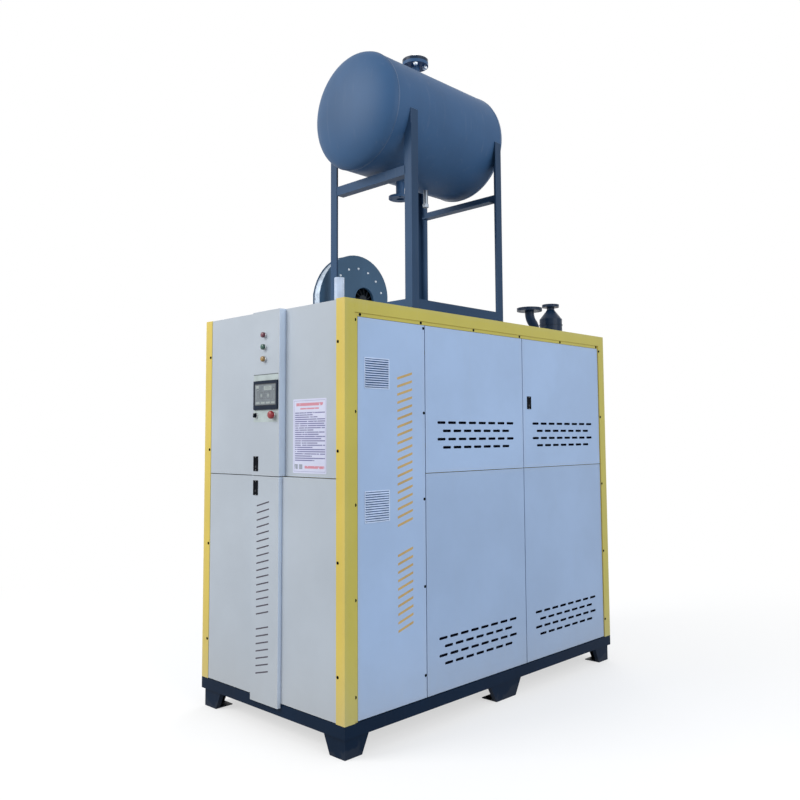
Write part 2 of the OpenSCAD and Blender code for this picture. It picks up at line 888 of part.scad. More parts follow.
module front_upper_panel() {
  color("#c1cbd4") corner()
    tray_front(right_panel_left, right_panel_right, front_recess, front_fold,
               front_split_z + reveal / 2, front_top);
}

module front_lower_panel() {
  color("#c1cbd4") corner()
    tray_front(right_panel_left, right_panel_right, 0, front_fold,
               panel_floor, front_split_z - reveal / 2);
}

// Staggered rows of round-ended slots, in plan, hanging from the top row.
module slot_pattern() {
  for (row = [0:slot_rows - 1]) {
    n = slot_count - row % 2;
    for (i = [0:n - 1]) translate([(i - (n - 1) / 2) * slot_pitch, -row * slot_row_pitch]) {
      square([slot_l - slot_h, slot_h], center = true);
      for (end = [-1, 1]) translate([end * (slot_l - slot_h) / 2, 0]) circle(d = slot_h, $fn = 24);
    }
  }
}

module slotted_panel(y0, y1, z0, z1, slots_z) {
  difference() {
    tray_side(y0, y1, z0, z1);
    translate([-side_recess - sheet - over, (y0 + y1) / 2, slots_z])
      rotate([90, 0, 90]) linear_extrude(sheet + 2 * over) slot_pattern();
  }
}

module louvre_panel() {
  difference() {
    tray_side(side_first, side_split_1 - side_reveal / 2, panel_floor, side_top);
    for (z = grille_z)
      translate([0, grille_y, z])
        block([-side_recess - sheet - over, -grille_w / 2 + grille_rim, -grille_h / 2 + grille_rim],
              [over, grille_w / 2 - grille_rim, grille_h / 2 - grille_rim]);
    louvre_screws(screw_r + seat, -over, sheet + over);
  }
}

module side_louvre_panel() {
  color("#9fb2cc") corner() louvre_panel();
}

module side_door_front() {
  y0 = side_split_1 + side_reveal / 2;
  y1 = side_split_2 - side_reveal / 2;
  color("#9fb2cc") corner() {
    difference() {
      slotted_panel(y0, y1, side_split_z + reveal / 2, side_top, upper_slots_z);
      side_front_hinge_place() {
        hinge_notches(side_hinges, side_fold);
        hinge_relief(side_split_z + reveal / 2, side_top, side_fold);
      }
    }
    side_front_hinge_place() door_knuckles(side_hinges);
  }
}

module side_door_rear() {
  y0 = side_split_2 + side_reveal / 2;
  color("#9fb2cc") corner() {
    difference() {
      slotted_panel(y0, side_last, side_split_z + reveal / 2, side_top, upper_slots_z);
      side_rear_hinge_place() {
        hinge_notches(side_hinges, side_fold);
        hinge_relief(side_split_z + reveal / 2, side_top, side_fold);
      }
      side_lock_place() lock_hole();
    }
    side_rear_hinge_place() door_knuckles(side_hinges);
  }
}

module lower_panel_pair() {
  z1 = side_split_z - reveal / 2;
  slotted_panel(side_split_1 + side_reveal / 2, side_split_2 - side_reveal / 2,
                panel_floor, z1, lower_slots_z);
  slotted_panel(side_split_2 + side_reveal / 2, side_last, panel_floor, z1, lower_slots_z);
}

module side_lower_panels() {
  color("#9fb2cc") corner() lower_panel_pair();
}

module left_side_panels() {
  z0 = side_split_z + reveal / 2;
  color("#9fb2cc") corner() translate([-cabinet_w, 0, 0]) mirror([1, 0, 0]) {
    louvre_panel();
    slotted_panel(side_split_1 + side_reveal / 2, side_split_2 - side_reveal / 2,
                  z0, side_top, upper_slots_z);
    slotted_panel(side_split_2 + side_reveal / 2, side_last, z0, side_top, upper_slots_z);
    lower_panel_pair();
  }
}

module rear_panels() {
  x = -cabinet_w / 2;
  color("#c1cbd4") corner() translate([0, cabinet_l, 0]) mirror([0, 1, 0]) {
    tray_front(-cabinet_w + post_front_w + seat, x - reveal / 2, 0, front_fold, panel_floor, front_top);
    difference() {
      tray_front(x + reveal / 2, right_panel_right, 0, front_fold, panel_floor, front_top);
      rod_y(pipe_r + roof_hole_play, -over, sheet + over, -loop_x, return_z);
    }
  }
}

module louvre_grilles() {
  color("#cfd8e0") corner() both_sides() for (z = grille_z)
    translate([-side_recess, grille_y, z]) {
      difference() {
        block([0, -grille_w / 2, -grille_h / 2], [grille_t, grille_w / 2, grille_h / 2]);
        block([-over, -grille_w / 2 + grille_rim, -grille_h / 2 + grille_rim],
              [grille_t + over, grille_w / 2 - grille_rim, grille_h / 2 - grille_rim]);
      }
      pitch = (grille_h - 2 * grille_rim) / slat_count;
      for (i = [0:slat_count - 1])
        translate([grille_t / 2, 0, -grille_h / 2 + grille_rim + (i + 0.5) * pitch])
          rotate([0, slat_angle, 0])
            cube([slat_depth, grille_w - 2 * grille_rim + seat, slat_t], center = true);
    }
}

// Lock frame: origin on the skin's outer face, y inwards, z up.
module lock_case() {
  difference() {
    union() {
      block([-lock_w / 2, -lock_proud, -lock_h / 2], [lock_w / 2, 0, lock_h / 2]);
      block([-lock_w / 2 + lock_rim, -lock_proud, -lock_h / 2 + lock_rim],
            [lock_w / 2 - lock_rim, lock_depth, lock_h / 2 - lock_rim]);
    }
    block([-lock_w / 2 + 2 * lock_rim, -lock_proud - over, -lock_h / 2 + lever_end],
          [lock_w / 2 - 2 * lock_rim, lock_pocket, lock_h / 2 - lever_end]);
    rod_x(lever_pin_r + running, -lever_pin_l / 2 - seat, lever_pin_l / 2 + seat,
          lever_pin_y, lever_pin_z);
  }
}

module lock_lever() {
  half = lock_w / 2 - 2 * lock_rim - lever_play;
  block([-half, lever_pin_y - lever_t / 2, -lock_h / 2 + lever_end + lever_play],
        [half, lever_pin_y + lever_t / 2, lever_pin_z]);
  rod_x(lever_t / 2, -half, half, lever_pin_y, lever_pin_z);
  rod_x(lever_pin_r, -lever_pin_l / 2, lever_pin_l / 2, lever_pin_y, lever_pin_z);
}

module front_lock_place(z) {
  translate([door_right - lock_from_edge, -band_rise, z]) children();
}

module side_lock_place() {
  translate([-side_recess, side_split_2 + side_lock_from_edge, side_lock_z])
    rotate([0, 0, 90]) children();
}

module front_upper_lock_case() {
  color("#15171a") corner() front_lock_place(front_split_z + lock_gap_z) lock_case();
}

module front_upper_lock_lever() {
  color("#202327") corner() front_lock_place(front_split_z + lock_gap_z) lock_lever();
}

module front_lower_lock_case() {
  color("#15171a") corner() front_lock_place(front_split_z - lock_gap_z) lock_case();
}

module front_lower_lock_lever() {
  color("#202327") corner() front_lock_place(front_split_z - lock_gap_z) lock_lever();
}

module side_lock_case() {
  color("#15171a") corner() side_lock_place() lock_case();
}

module side_lock_lever() {
  color("#202327") corner() side_lock_place() lock_lever();
}

module hinge_brackets() {
  color("#7d8790") corner() {
    front_hinge_place() hinge_arm(concat(upper_hinges, lower_hinges), front_tube_y - hinge_inset);
    side_front_hinge_place() hinge_arm(side_hinges, side_tube_x - side_recess - hinge_inset);
    side_rear_hinge_place() hinge_arm(side_hinges, side_tube_x - side_recess - hinge_inset);
  }
}

module hinge_pins() {
  color("#b9bec4") corner() {
    front_hinge_place() hinge_pin_set(concat(upper_hinges, lower_hinges));
    side_front_hinge_place() hinge_pin_set(side_hinges);
    side_rear_hinge_place() hinge_pin_set(side_hinges);
  }
}

module panel_screws() {
  color("#1a1c1f") corner() {
    frame_screws(screw_r, -screw_head_h, screw_l);
    frame_screws(screw_head_r, -screw_head_h, 0);
    louvre_screws(screw_r, -screw_head_h, screw_l);
    louvre_screws(screw_head_r, -screw_head_h, 0);
  }
}

lamp_x = door_right - lamp_from_edge;
switch_places = concat(
  [for (i = [0:2]) [lamp_x, lamp_top_z - i * lamp_pitch]],
  [[door_right - selector_from_edge, switch_z], [door_right - stop_from_edge, switch_z]]);

// Places children on the band's face, z outwards.
module on_band(p) {
  translate([p[0], -band_rise, p[1]]) rotate([90, 0, 0]) children();
}

module pilot_lamp(i) {
  corner() on_band(switch_places[i]) {
    translate([0, 0, -switch_stem_l]) cylinder(r = switch_stem_r, h = switch_stem_l + lens_foot);
    cylinder(r = lens_r, h = collar_h);
    translate([0, 0, collar_h]) dished_solid(lens_r, lens_dome);
  }
}

module lamp_red() {
  color("#b3182c") pilot_lamp(0);
}

module lamp_green() {
  color("#12805a") pilot_lamp(1);
}

module lamp_amber() {
  color("#c98a1c") pilot_lamp(2);
}

module switch_collars() {
  color("#c9ced2") corner() for (p = switch_places) on_band(p) difference() {
    cylinder(r = collar_r, h = collar_h);
    translate([0, 0, -over]) cylinder(r = collar_bore_r, h = collar_h + 2 * over);
  }
}

module display_bezel() {
  color("#23262b") corner() on_band([door_right - display_from_edge, display_z]) difference() {
    union() {
      block([-display_w / 2, -display_h / 2, 0], [display_w / 2, display_h / 2, display_rise]);
      block([-display_w / 2 + display_rear_border, -display_h / 2 + display_rear_border, -display_depth],
            [display_w / 2 - display_rear_border, display_h / 2 - display_rear_border, 0]);
    }
    block([-display_w / 2 + display_border, -display_h / 2 + display_foot, display_rise - display_pocket],
          [display_w / 2 - display_border, display_h / 2 - display_head, display_rise + over]);
  }
}

module display_screen() {
  color("#8d9a94") corner() on_band([door_right - display_from_edge, display_z])
    block([-display_w / 2 + display_border + seat, -display_h / 2 + display_foot + seat,
           display_rise - display_pocket],
          [display_w / 2 - display_border - seat, display_h / 2 - display_head - seat,
           display_rise - display_pocket + display_glass]);
}

module selector_knob() {
  color("#17191c") corner() on_band(switch_places[3]) {
    translate([0, 0, -switch_stem_l]) cylinder(r = switch_stem_r, h = switch_stem_l + lens_foot);
    translate([0, 0, seat]) cylinder(r = lens_r, h = collar_h + lens_foot - seat);
    block([-selector_grip_w / 2, -lens_r + over, seat],
          [selector_grip_w / 2, lens_r - over, selector_grip_h]);
  }
}

module stop_button() {
  color("#c01f22") corner() on_band(switch_places[4]) {
    translate([0, 0, -switch_stem_l]) cylinder(r = switch_stem_r, h = switch_stem_l + collar_h);
    translate([0, 0, collar_h + stop_travel + over]) {
      cylinder(r = stop_r, h = stop_head_l);
      translate([0, 0, stop_head_l]) dished_solid(stop_r, stop_dome);
    }
    cylinder(r = switch_stem_r, h = collar_h + stop_travel + 2 * over);
  }
}

// Point of the scroll curve at an angle, measured from +Y upwards.
function scroll_r(a) = scroll_r_min
  + (scroll_r_max - scroll_r_min) * pow((a - scroll_start) / (180 - scroll_start), scroll_growth);
function scroll_at(a, grow = 0) = (scroll_r(a) + grow) * [cos(a), sin(a)];
function scroll_points(grow) = concat(
  [for (a = [scroll_start:scroll_step:180]) scroll_at(a, grow)],
  [[-scroll_r_max - grow, -blower_rise], [scroll_at(scroll_start, grow)[0], -blower_rise]]);
function scroll_cavity() = concat(
  [for (a = [scroll_start + scroll_step:scroll_step:180]) scroll_at(a, -scroll_t)],
  [[-scroll_r_max + scroll_t, -blower_rise - over],
   [scroll_at(scroll_start)[0] - scroll_t, -blower_rise - over],
   scroll_at(scroll_start) + [-scroll_t, scroll_t]]);

// Plane of the blower at distance x inside the side, extruding towards +X.
module blower_plane(x) {
  translate([-x, blower_y, cabinet_h + blower_rise]) rotate([90, 0, 90]) children();
}

module blower_scroll() {
  color("#c3c9cf") corner() blower_plane(blower_x + blower_w - plate_t)
    linear_extrude(blower_w - 2 * plate_t) difference() {
      polygon(scroll_points(0));
      polygon(scroll_cavity());
    }
}

module blower_side_plates() {
  color("#3d4f66") corner() {
    blower_plane(blower_x + plate_t) linear_extrude(plate_t) difference() {
      polygon(scroll_points(plate_rim));
      circle(r = eye_r);
    }
    blower_plane(blower_x + blower_w) linear_extrude(plate_t) difference() {
      polygon(scroll_points(plate_rim));
      circle(r = fan_shaft_r + plate_t);
    }
  }
}

module blower_wheel() {
  x0 = blower_x + blower_w - 2 * plate_t - wheel_back;
  color("#5a6470") corner() {
    blower_plane(x0) {
      cylinder(r = wheel_r, h = plate_t);
      cylinder(r = hub_r, h = wheel_depth);
      for (i = [0:blade_count - 1]) rotate([0, 0, i * 360 / blade_count])
        translate([hub_r * blade_root_share, 0, 0]) rotate([0, 0, blade_sweep])
          translate([0, -blade_t / 2, 0]) cube([wheel_r * blade_share, blade_t, wheel_depth - over]);
    }
    blower_plane(blower_x + blower_w + motor_gap - seat)
      cylinder(r = fan_shaft_r, h = blower_w - wheel_depth + wheel_back);
  }
}

module blower_motor() {
  r = blower_motor_d / 2;
  x1 = blower_x + blower_w + motor_gap;
  z = cabinet_h + blower_rise;
  color("#3d4f66") corner() {
    rod_x(r, -x1 - blower_motor_l, -x1, blower_y, z);
    block([-x1 - blower_motor_l * foot_share, blower_y - r, cabinet_h],
          [-x1 - blower_motor_l * (1 - foot_share), blower_y + r, cabinet_h + foot_plate_t]);
    block([-x1 - blower_motor_l * foot_share, blower_y - r / 2, cabinet_h],
          [-x1 - blower_motor_l * (1 - foot_share), blower_y + r / 2, z]);
  }
}

module conduit_riser() {
  color("#c9d3dc") corner() translate([-conduit_x, conduit_y, cabinet_h - conduit_below])
    difference() {
      cylinder(r = conduit_r, h = conduit_h + conduit_below);
      translate([0, 0, -over])
        cylinder(r = conduit_r - conduit_t, h = conduit_h + conduit_below + 2 * over);
    }
}

// Vertical holes for nozzles in the tank shell.
module tank_nozzle_holes() {
  translate([tank_x, top_nozzle_y, tank_z]) cylinder(r = nozzle_r + seat, h = tank_r + over);
  translate([tank_x, bottom_nozzle_y, tank_z - tank_r - over])
    cylinder(r = nozzle_r + seat, h = tank_r);
  translate([tank_x, tank_drain_y, tank_z - tank_r - over])
    cylinder(r = tank_drain_r + seat, h = tank_r);
}

module tank_shell() {
  color("#4d6382") corner() difference() {
    rod_y(tank_r, tank_y - tank_l / 2, tank_y + tank_l / 2, tank_x, tank_z, $fn = 96);
    rod_y(tank_r - tank_t, tank_y - tank_l / 2 - over, tank_y + tank_l / 2 + over, tank_x, tank_z,
          $fn = 96);
    tank_nozzle_holes();
  }
}

module tank_heads() {
  color("#4d6382") corner() for (end = [-1, 1])
    translate([tank_x, tank_y + end * tank_l / 2, tank_z]) rotate([-end * 90, 0, 0])
      rotate_extrude($fn = 96) polygon(concat(
        dish(tank_r, tank_head), [for (i = [16:-1:0]) dish(tank_r - tank_t, tank_head - tank_t)[i]]));
}

module tank_nozzles() {
  neck = tank_t + neck_inside;
  color("#46597a") corner() {
    translate([tank_x, top_nozzle_y, tank_z + tank_r - neck]) difference() {
      union() {
        cylinder(r = nozzle_r, h = neck + top_nozzle_l + cover_flange[3]);
        translate([0, 0, neck + top_nozzle_l]) flange(cover_flange, 0);
      }
      translate([0, 0, -over])
        cylinder(r = nozzle_r - nozzle_t, h = neck + top_nozzle_l + cover_flange[3] + 2 * over);
    }
    translate([tank_x, bottom_nozzle_y, tank_z - tank_r - bottom_nozzle_l - drain_flange[3]])
      difference() {
        union() {
          cylinder(r = nozzle_r, h = drain_flange[3] + bottom_nozzle_l + neck);
          flange(drain_flange, 0);
        }
        translate([0, 0, -over])
          cylinder(r = nozzle_r - nozzle_t, h = drain_flange[3] + bottom_nozzle_l + neck + 2 * over);
      }
  }
}

cover_z = tank_z + tank_r + top_nozzle_l + cover_flange[3];

module tank_cover_flange() {
  color("#2f3d52") corner() translate([tank_x, top_nozzle_y, cover_z]) flange(cover_flange, 0);
}

module tank_drain_plug() {
  z0 = tank_z - tank_r - tank_drain_l;
  color("#c8ccd0") corner() translate([tank_x, tank_drain_y, z0]) {
    cylinder(r = tank_drain_r, h = tank_drain_l + tank_t + neck_inside);
    translate([0, 0, -drain_plug_h]) cylinder(r = drain_plug_r, h = drain_plug_h, $fn = 6);
  }
}

// Angle iron standing in a corner of the stand, growing inwards.
module stand_leg() {
  block([0, 0, cabinet_h + angle_t + seat], [angle_w, angle_t, leg_top]);
  block([0, 0, cabinet_h + angle_t + seat], [angle_t, angle_w, leg_top]);
}

module tank_stand() {
  inner = angle_w + seat;
  color("#4a5d7b") corner() translate([-stand_w, stand_y, 0]) difference() {
    union() {
      for (right = [0, 1], rear = [0, 1])
        translate([right * stand_w, rear * stand_l, 0])
          mirror([right, 0, 0]) mirror([0, rear, 0]) stand_leg();
      for (rear = [0, 1]) translate([0, rear * stand_l, 0]) mirror([0, rear, 0]) {
        block([0, 0, cabinet_h], [stand_w, angle_w, cabinet_h + angle_t]);
        block([inner, 0, cabinet_h], [stand_w - inner, angle_t, cabinet_h + cross_bar_h]);
        block([inner, 0, cabinet_h + cross_bar_rise],
              [stand_w - inner, angle_t, cabinet_h + cross_bar_rise + cross_bar_h]);
        block([inner, 0, cabinet_h + cross_bar_rise],
              [stand_w - inner, angle_w, cabinet_h + cross_bar_rise + angle_t]);
      }
      for (right = [0, 1]) translate([right * stand_w, 0, cabinet_h]) mirror([right, 0, 0]) {
        block([0, inner, 0], [angle_t, stand_l - inner, angle_w]);
        block([0, inner, 0], [angle_w, stand_l - inner, angle_t]);
      }
    }
    rod_y(tank_r + seat, -over, stand_l + over, stand_w / 2, tank_z, $fn = 96);
  }
}

// Hexagon bolt through two flanges, head up, with its nut below.
module flange_bolt(r, grip) {
  cylinder(r = r, h = grip);
  translate([0, 0, grip]) cylinder(r = r * bolt_head_share, h = r, $fn = 6);
  translate([0, 0, -r]) cylinder(r = r * bolt_head_share, h = r, $fn = 6);
}

module flange_bolts() {
  color("#9aa3ab") corner() {
    translate([tank_x, top_nozzle_y, cover_z - cover_flange[3]])
      for (i = [0:flange_hole_count - 1]) rotate([0, 0, 360 / flange_hole_count * (i + 0.5)])
        translate([cover_flange[1], 0, 0]) flange_bolt(cover_flange[2] - over, 2 * cover_flange[3]);
    blower_plane(blower_x) for (i = [0:blower_bolt_last])
      translate(blower_bolt_shift
                + blower_bolt_circle_r * [cos(i * 360 / blower_bolt_count), sin(i * 360 / blower_bolt_count)])
        cylinder(r = bolt_head_r, h = bolt_head_h, $fn = 6);
  }
}

jacket_y0 = vessel_y + vessel_flange_t + nozzle_beyond_jacket;
jacket_y1 = vessel_y1 + vessel_dish + jacket_end_t + nozzle_beyond_jacket;
nozzle_end = jacket_r + nozzle_beyond_jacket;

// Vertical and sideways nozzle rods of the vessel.
module vessel_nozzles(r, start) {
  rod_x(r, vessel_x + start, vessel_x + nozzle_end, pump_discharge_y, vessel_z);
  translate([vessel_x, outlet_y, vessel_z + start]) cylinder(r = r, h = nozzle_end - start);
}

module heater_vessel() {
  inner_r = vessel_r - vessel_t;
  color("#5b6670") corner() difference() {
    union() {
      rod_y(vessel_r, vessel_y, vessel_y1, vessel_x, vessel_z);
      rod_y(vessel_flange_r, vessel_y, vessel_y + vessel_flange_t, vessel_x, vessel_z);
      translate([vessel_x, vessel_y1, vessel_z]) rotate([-90, 0, 0]) dished_solid(vessel_r, vessel_dish);
      vessel_nozzles(pipe_r, inner_r);
    }
    rod_y(inner_r, vessel_y - over, vessel_y1, vessel_x, vessel_z);
    translate([vessel_x, vessel_y1, vessel_z]) rotate([-90, 0, 0])
      dished_solid(inner_r, vessel_dish - vessel_t);
    vessel_nozzles(pipe_r - pipe_t, vessel_r / 2);
    translate([vessel_x, outlet_y, vessel_z + nozzle_end - over])
      cylinder(r = pipe_r - pipe_t, h = 2 * over);
    rod_x(pipe_r - pipe_t, vessel_x + nozzle_end - over, vessel_x + nozzle_end + over,
          pump_discharge_y, vessel_z);
  }
}

module vessel_jacket() {
  color("#b9c0c6") corner() difference() {
    rod_y(jacket_r, jacket_y0, jacket_y1, vessel_x, vessel_z);
    rod_y(vessel_r + seat, jacket_y0 - over, jacket_y1 - jacket_end_t, vessel_x, vessel_z);
    vessel_nozzles(pipe_r + seat, vessel_r / 2);
  }
}

module heater_bundle() {
  color("#8c8f92") corner() translate([vessel_x, vessel_y, vessel_z]) {
    rod_y(vessel_flange_r, -vessel_flange_t, 0, 0, 0);
    for (i = [0:element_count - 1]) {
      x = (i - (element_count - 1) / 2) * element_pitch;
      for (side = [-1, 1]) rod_y(element_r, 0, element_l, x, side * element_half);
      translate([x, element_l, 0]) rotate([0, 90, 0])
        rotate_extrude(angle = 180) translate([element_half, 0]) circle(r = element_r, $fn = 24);
    }
  }
}

module terminal_box() {
  y1 = vessel_y - vessel_flange_t;
  color("#7d8790") corner() difference() {
    block([vessel_x - box_half, y1 - box_depth, vessel_z - box_half],
          [vessel_x + box_half, y1, vessel_z + box_half]);
    block([vessel_x - box_half + sheet, y1 - box_depth + sheet, vessel_z - box_half + sheet],
          [vessel_x + box_half - sheet, y1 + over, vessel_z + box_half - sheet]);
    rod_y(cable_hole_r / 2, y1 - box_depth - over, y1 - box_depth + sheet + over, vessel_x, vessel_z);
  }
}

module inner_skid() {
  z1 = vessel_z - jacket_r - cradle_below;
  color("#1d2a38") corner() {
    block([-bed_x0, bed_y0, base_top], [-bed_x1, bed_y1, base_top + bed_t]);
    for (y = saddle_y) {
      for (side = [-1, 1])
        translate([vessel_x + side * saddle_reach, y, 0])
          frame_tube([-saddle_tube / 2, -saddle_tube / 2, base_top],
                     [saddle_tube / 2, saddle_tube / 2, z1 - seat], 2);
      difference() {
        block([vessel_x - saddle_reach - saddle_tube / 2, y - saddle_t / 2, z1],
              [vessel_x + saddle_reach + saddle_tube / 2, y + saddle_t / 2,
               vessel_z - jacket_r * cradle_share]);
        rod_y(jacket_r + seat, y - saddle_t, y + saddle_t, vessel_x, vessel_z);
      }
    }
  }
}

pump_y0 = pump_discharge_y - pump_w / 2;
pump_y1 = pump_discharge_y + pump_w / 2;
suction_face_y = pump_y1 + suction_l;
discharge_face_z = pump_z + discharge_rise;

module pump_casing() {
  cavity = pump_r - pump_wall;
  color("#35508a") corner() difference() {
    union() {
      rod_y(pump_r, pump_y0, pump_y1, -loop_x, pump_z);
      rod_y(bracket_r, pump_y0 - bracket_l, pump_y0, -loop_x, pump_z);
      rod_y(suction_r, pump_y1, suction_face_y, -loop_x, pump_z);
      translate([-loop_x, suction_face_y, pump_z]) rotate([90, 0, 0]) flange(pump_flange, 0);
      translate([-loop_x, pump_discharge_y, pump_z]) cylinder(r = pipe_r, h = discharge_rise);
      translate([-loop_x, pump_discharge_y, discharge_face_z - pump_flange[3]])
        flange(pump_flange, 0);
      block([-loop_x - pump_feet_w / 2, pump_y0, base_top + bed_t],
            [-loop_x + pump_feet_w / 2, pump_y1, pump_z - bracket_r]);
      block([-loop_x - bracket_r, pump_y0 - bracket_l, base_top + bed_t],
            [-loop_x + bracket_r, pump_y0 - bracket_l / 2, pump_z]);
    }
    rod_y(cavity, pump_y0 + pump_wall, pump_y1 - pump_wall, -loop_x, pump_z);
    rod_y(shaft_r + running, pump_y0 - bracket_l - over, pump_y0 + pump_wall + over, -loop_x, pump_z);
    rod_y(suction_r - pipe_t, pump_y1 - pump_wall - over, suction_face_y + over, -loop_x, pump_z);
    translate([-loop_x, pump_discharge_y, pump_z])
      cylinder(r = pipe_r - pipe_t, h = discharge_rise + over);
  }
}

module pump_rotor() {
  y0 = motor_y + motor_l + pump_motor_gap;
  color("#9aa0a6") corner() {
    rod_y(shaft_r, y0, pump_discharge_y, -loop_x, pump_z);
    rod_y(coupling_r, y0 + coupling_in, y0 + coupling_in + coupling_l, -loop_x, pump_z);
    rod_y(rotor_r, pump_discharge_y - rotor_w / 2, pump_discharge_y + rotor_w / 2, -loop_x, pump_z);
  }
}

module pump_motor() {
  y1 = motor_y + motor_l;
  color("#35508a") corner() {
    rod_y(motor_r, motor_y, y1, -loop_x, pump_z);
    rod_y(motor_r * motor_cowl_share, motor_y - motor_cowl_l, motor_y, -loop_x, pump_z);
    block([-loop_x - pump_feet_w / 2, motor_y + motor_foot_in, base_top + bed_t],
          [-loop_x + pump_feet_w / 2, y1 - motor_foot_in, pump_z]);
    block([-loop_x - motor_box_w / 2, motor_y + motor_foot_in, pump_z],
          [-loop_x + motor_box_w / 2, motor_y + motor_foot_in + motor_box_w,
           pump_z + motor_r + motor_box_h]);
  }
}

// Straight pipe piece standing on z = 0.
module pipe(r, h) {
  difference() {
    cylinder(r = r, h = h);
    translate([0, 0, -over]) cylinder(r = r - pipe_t, h = h + 2 * over);
  }
}

// Pipe bend of an angle, starting upwards and turning to +X.
module hollow_bend(r, bend, angle) {
  translate([bend, 0, 0]) rotate([90, 0, 0]) rotate([0, 0, 180 - angle])
    rotate_extrude(angle = angle) translate([bend, 0]) difference() {
      circle(r = r);
      circle(r = r - pipe_t);
    }
}

module pipe_flange() {
  flange(pump_flange, pipe_r - pipe_t);
}

module oil_pipes() {
  valve_low = valve_z - valve_l / 2;
  valve_high = valve_z + valve_l / 2;
  color("#4d6382") corner() {
    translate([-loop_x, pump_discharge_y, 0]) {
      translate([0, 0, discharge_face_z]) pipe_flange();
      translate([0, 0, discharge_face_z]) pipe(pipe_r, valve_low - discharge_face_z);
      translate([0, 0, valve_low - pump_flange[3]]) pipe_flange();
      translate([0, 0, valve_high]) pipe_flange();
      translate([0, 0, valve_high]) pipe(pipe_r, vessel_z - bend_r - valve_high);
      translate([0, 0, vessel_z - bend_r]) mirror([1, 0, 0]) hollow_bend(pipe_r, bend_r, 90);
      translate([vessel_x + nozzle_end + loop_x, 0, vessel_z]) rotate([0, 90, 0])
        pipe(pipe_r, -loop_x - bend_r - vessel_x - nozzle_end);
    }
    translate([-loop_x, separator_y, pump_z + suction_bend])
      pipe(suction_r, separator_bottom - pump_z - suction_bend);
    translate([-loop_x, separator_y, pump_z + suction_bend])
      rotate([0, 0, -90]) mirror([0, 0, 1]) hollow_bend(suction_r, suction_bend, 90);
    translate([-loop_x, suction_face_y, pump_z]) rotate([-90, 0, 0]) {
      pipe(suction_r, separator_y - suction_bend - suction_face_y);
      flange(pump_flange, suction_r - pipe_t);
    }
    difference() {
      translate([-loop_x, separator_y, return_z]) rotate([-90, 0, 0]) {
        pipe(pipe_r, cabinet_l + return_beyond - separator_y);
        translate([0, 0, cabinet_l + return_beyond - separator_y - main_flange[3]])
          flange(main_flange, pipe_r - pipe_t);
      }
      translate([-loop_x, separator_y, return_z - separator_r])
        cylinder(r = separator_r + seat, h = 2 * separator_r);
    }
  }
}

swan_shift = 2 * bend_r * (1 - cos(swan_angle));
swan_rise = 2 * bend_r * sin(swan_angle);
outlet_flange_z = cabinet_h + swan_start + swan_rise + swan_stub;

module hot_outlet_pipe() {
  z0 = vessel_z + nozzle_end;
  color("#33445c") corner() {
    translate([vessel_x, outlet_y, z0]) pipe(pipe_r, outlet_over_z - bend_r - z0);
    translate([vessel_x, outlet_y, outlet_over_z - bend_r]) hollow_bend(pipe_r, bend_r, 90);
    translate([vessel_x + bend_r, outlet_y, outlet_over_z]) rotate([0, 90, 0])
      pipe(pipe_r, -loop_x - vessel_x - 2 * bend_r);
    translate([-loop_x, outlet_y, outlet_over_z + bend_r])
      mirror([0, 0, 1]) mirror([1, 0, 0]) hollow_bend(pipe_r, bend_r, 90);
    translate([-loop_x, outlet_y, outlet_over_z + bend_r])
      pipe(pipe_r, cabinet_h + swan_start - outlet_over_z - bend_r);
    translate([-loop_x, outlet_y, cabinet_h + swan_start]) rotate([0, 0, -90]) {
      hollow_bend(pipe_r, bend_r, swan_angle);
      translate([swan_shift, 0, swan_rise]) rotate([0, 180, 0]) hollow_bend(pipe_r, bend_r, swan_angle);
      translate([swan_shift, 0, swan_rise]) pipe(pipe_r, swan_stub);
    }
    translate([-loop_x, outlet_y - swan_shift, outlet_flange_z]) flange(main_flange, pipe_r - pipe_t);
  }
}

module separator() {
  neck_z = separator_top + separator_cone;
  color("#2f3d52") corner() translate([-loop_x, separator_y, 0]) {
    difference() {
      union() {
        rotate_extrude() polygon([
          [0, separator_bottom], [separator_r, separator_bottom], [separator_r, separator_top],
          [separator_neck_r, neck_z], [separator_neck_r, neck_z + neck_l + small_flange[3]],
          [0, neck_z + neck_l + small_flange[3]]]);
        translate([0, 0, cabinet_h + bead_rise])
          cylinder(r = separator_r + separator_bead, h = 2 * separator_bead);
        translate([0, 0, neck_z + neck_l]) flange(small_flange, 0);
      }
      rotate_extrude() polygon([
        [0, separator_bottom + separator_t], [separator_r - separator_t, separator_bottom + separator_t],
        [separator_r - separator_t, separator_top], [separator_neck_r - separator_t, neck_z],
        [separator_neck_r - separator_t, neck_z + neck_l + small_flange[3] + over],
        [0, neck_z + neck_l + small_flange[3] + over]]);
      translate([0, 0, separator_bottom - over])
        cylinder(r = suction_r - pipe_t, h = separator_t + 2 * over);
      rod_y(pipe_r - pipe_t, 0, separator_r + over, 0, return_z);
    }
  }
}

module valve_body() {
  z0 = valve_z - valve_l / 2;
  color("#35508a") corner() translate([-loop_x, pump_discharge_y, 0]) difference() {
    union() {
      translate([0, 0, z0]) flange(pump_flange, 0);
      translate([0, 0, z0 + valve_l - pump_flange[3]]) flange(pump_flange, 0);
      translate([0, 0, z0]) cylinder(r = valve_r, h = valve_l);
      rod_x(bonnet_r, 0, bonnet_l, 0, valve_z);
    }
    translate([0, 0, z0 - over]) cylinder(r = pipe_r - pipe_t, h = valve_l + 2 * over);
    rod_x(stem_r + running, 0, bonnet_l + over, 0, valve_z);
  }
}

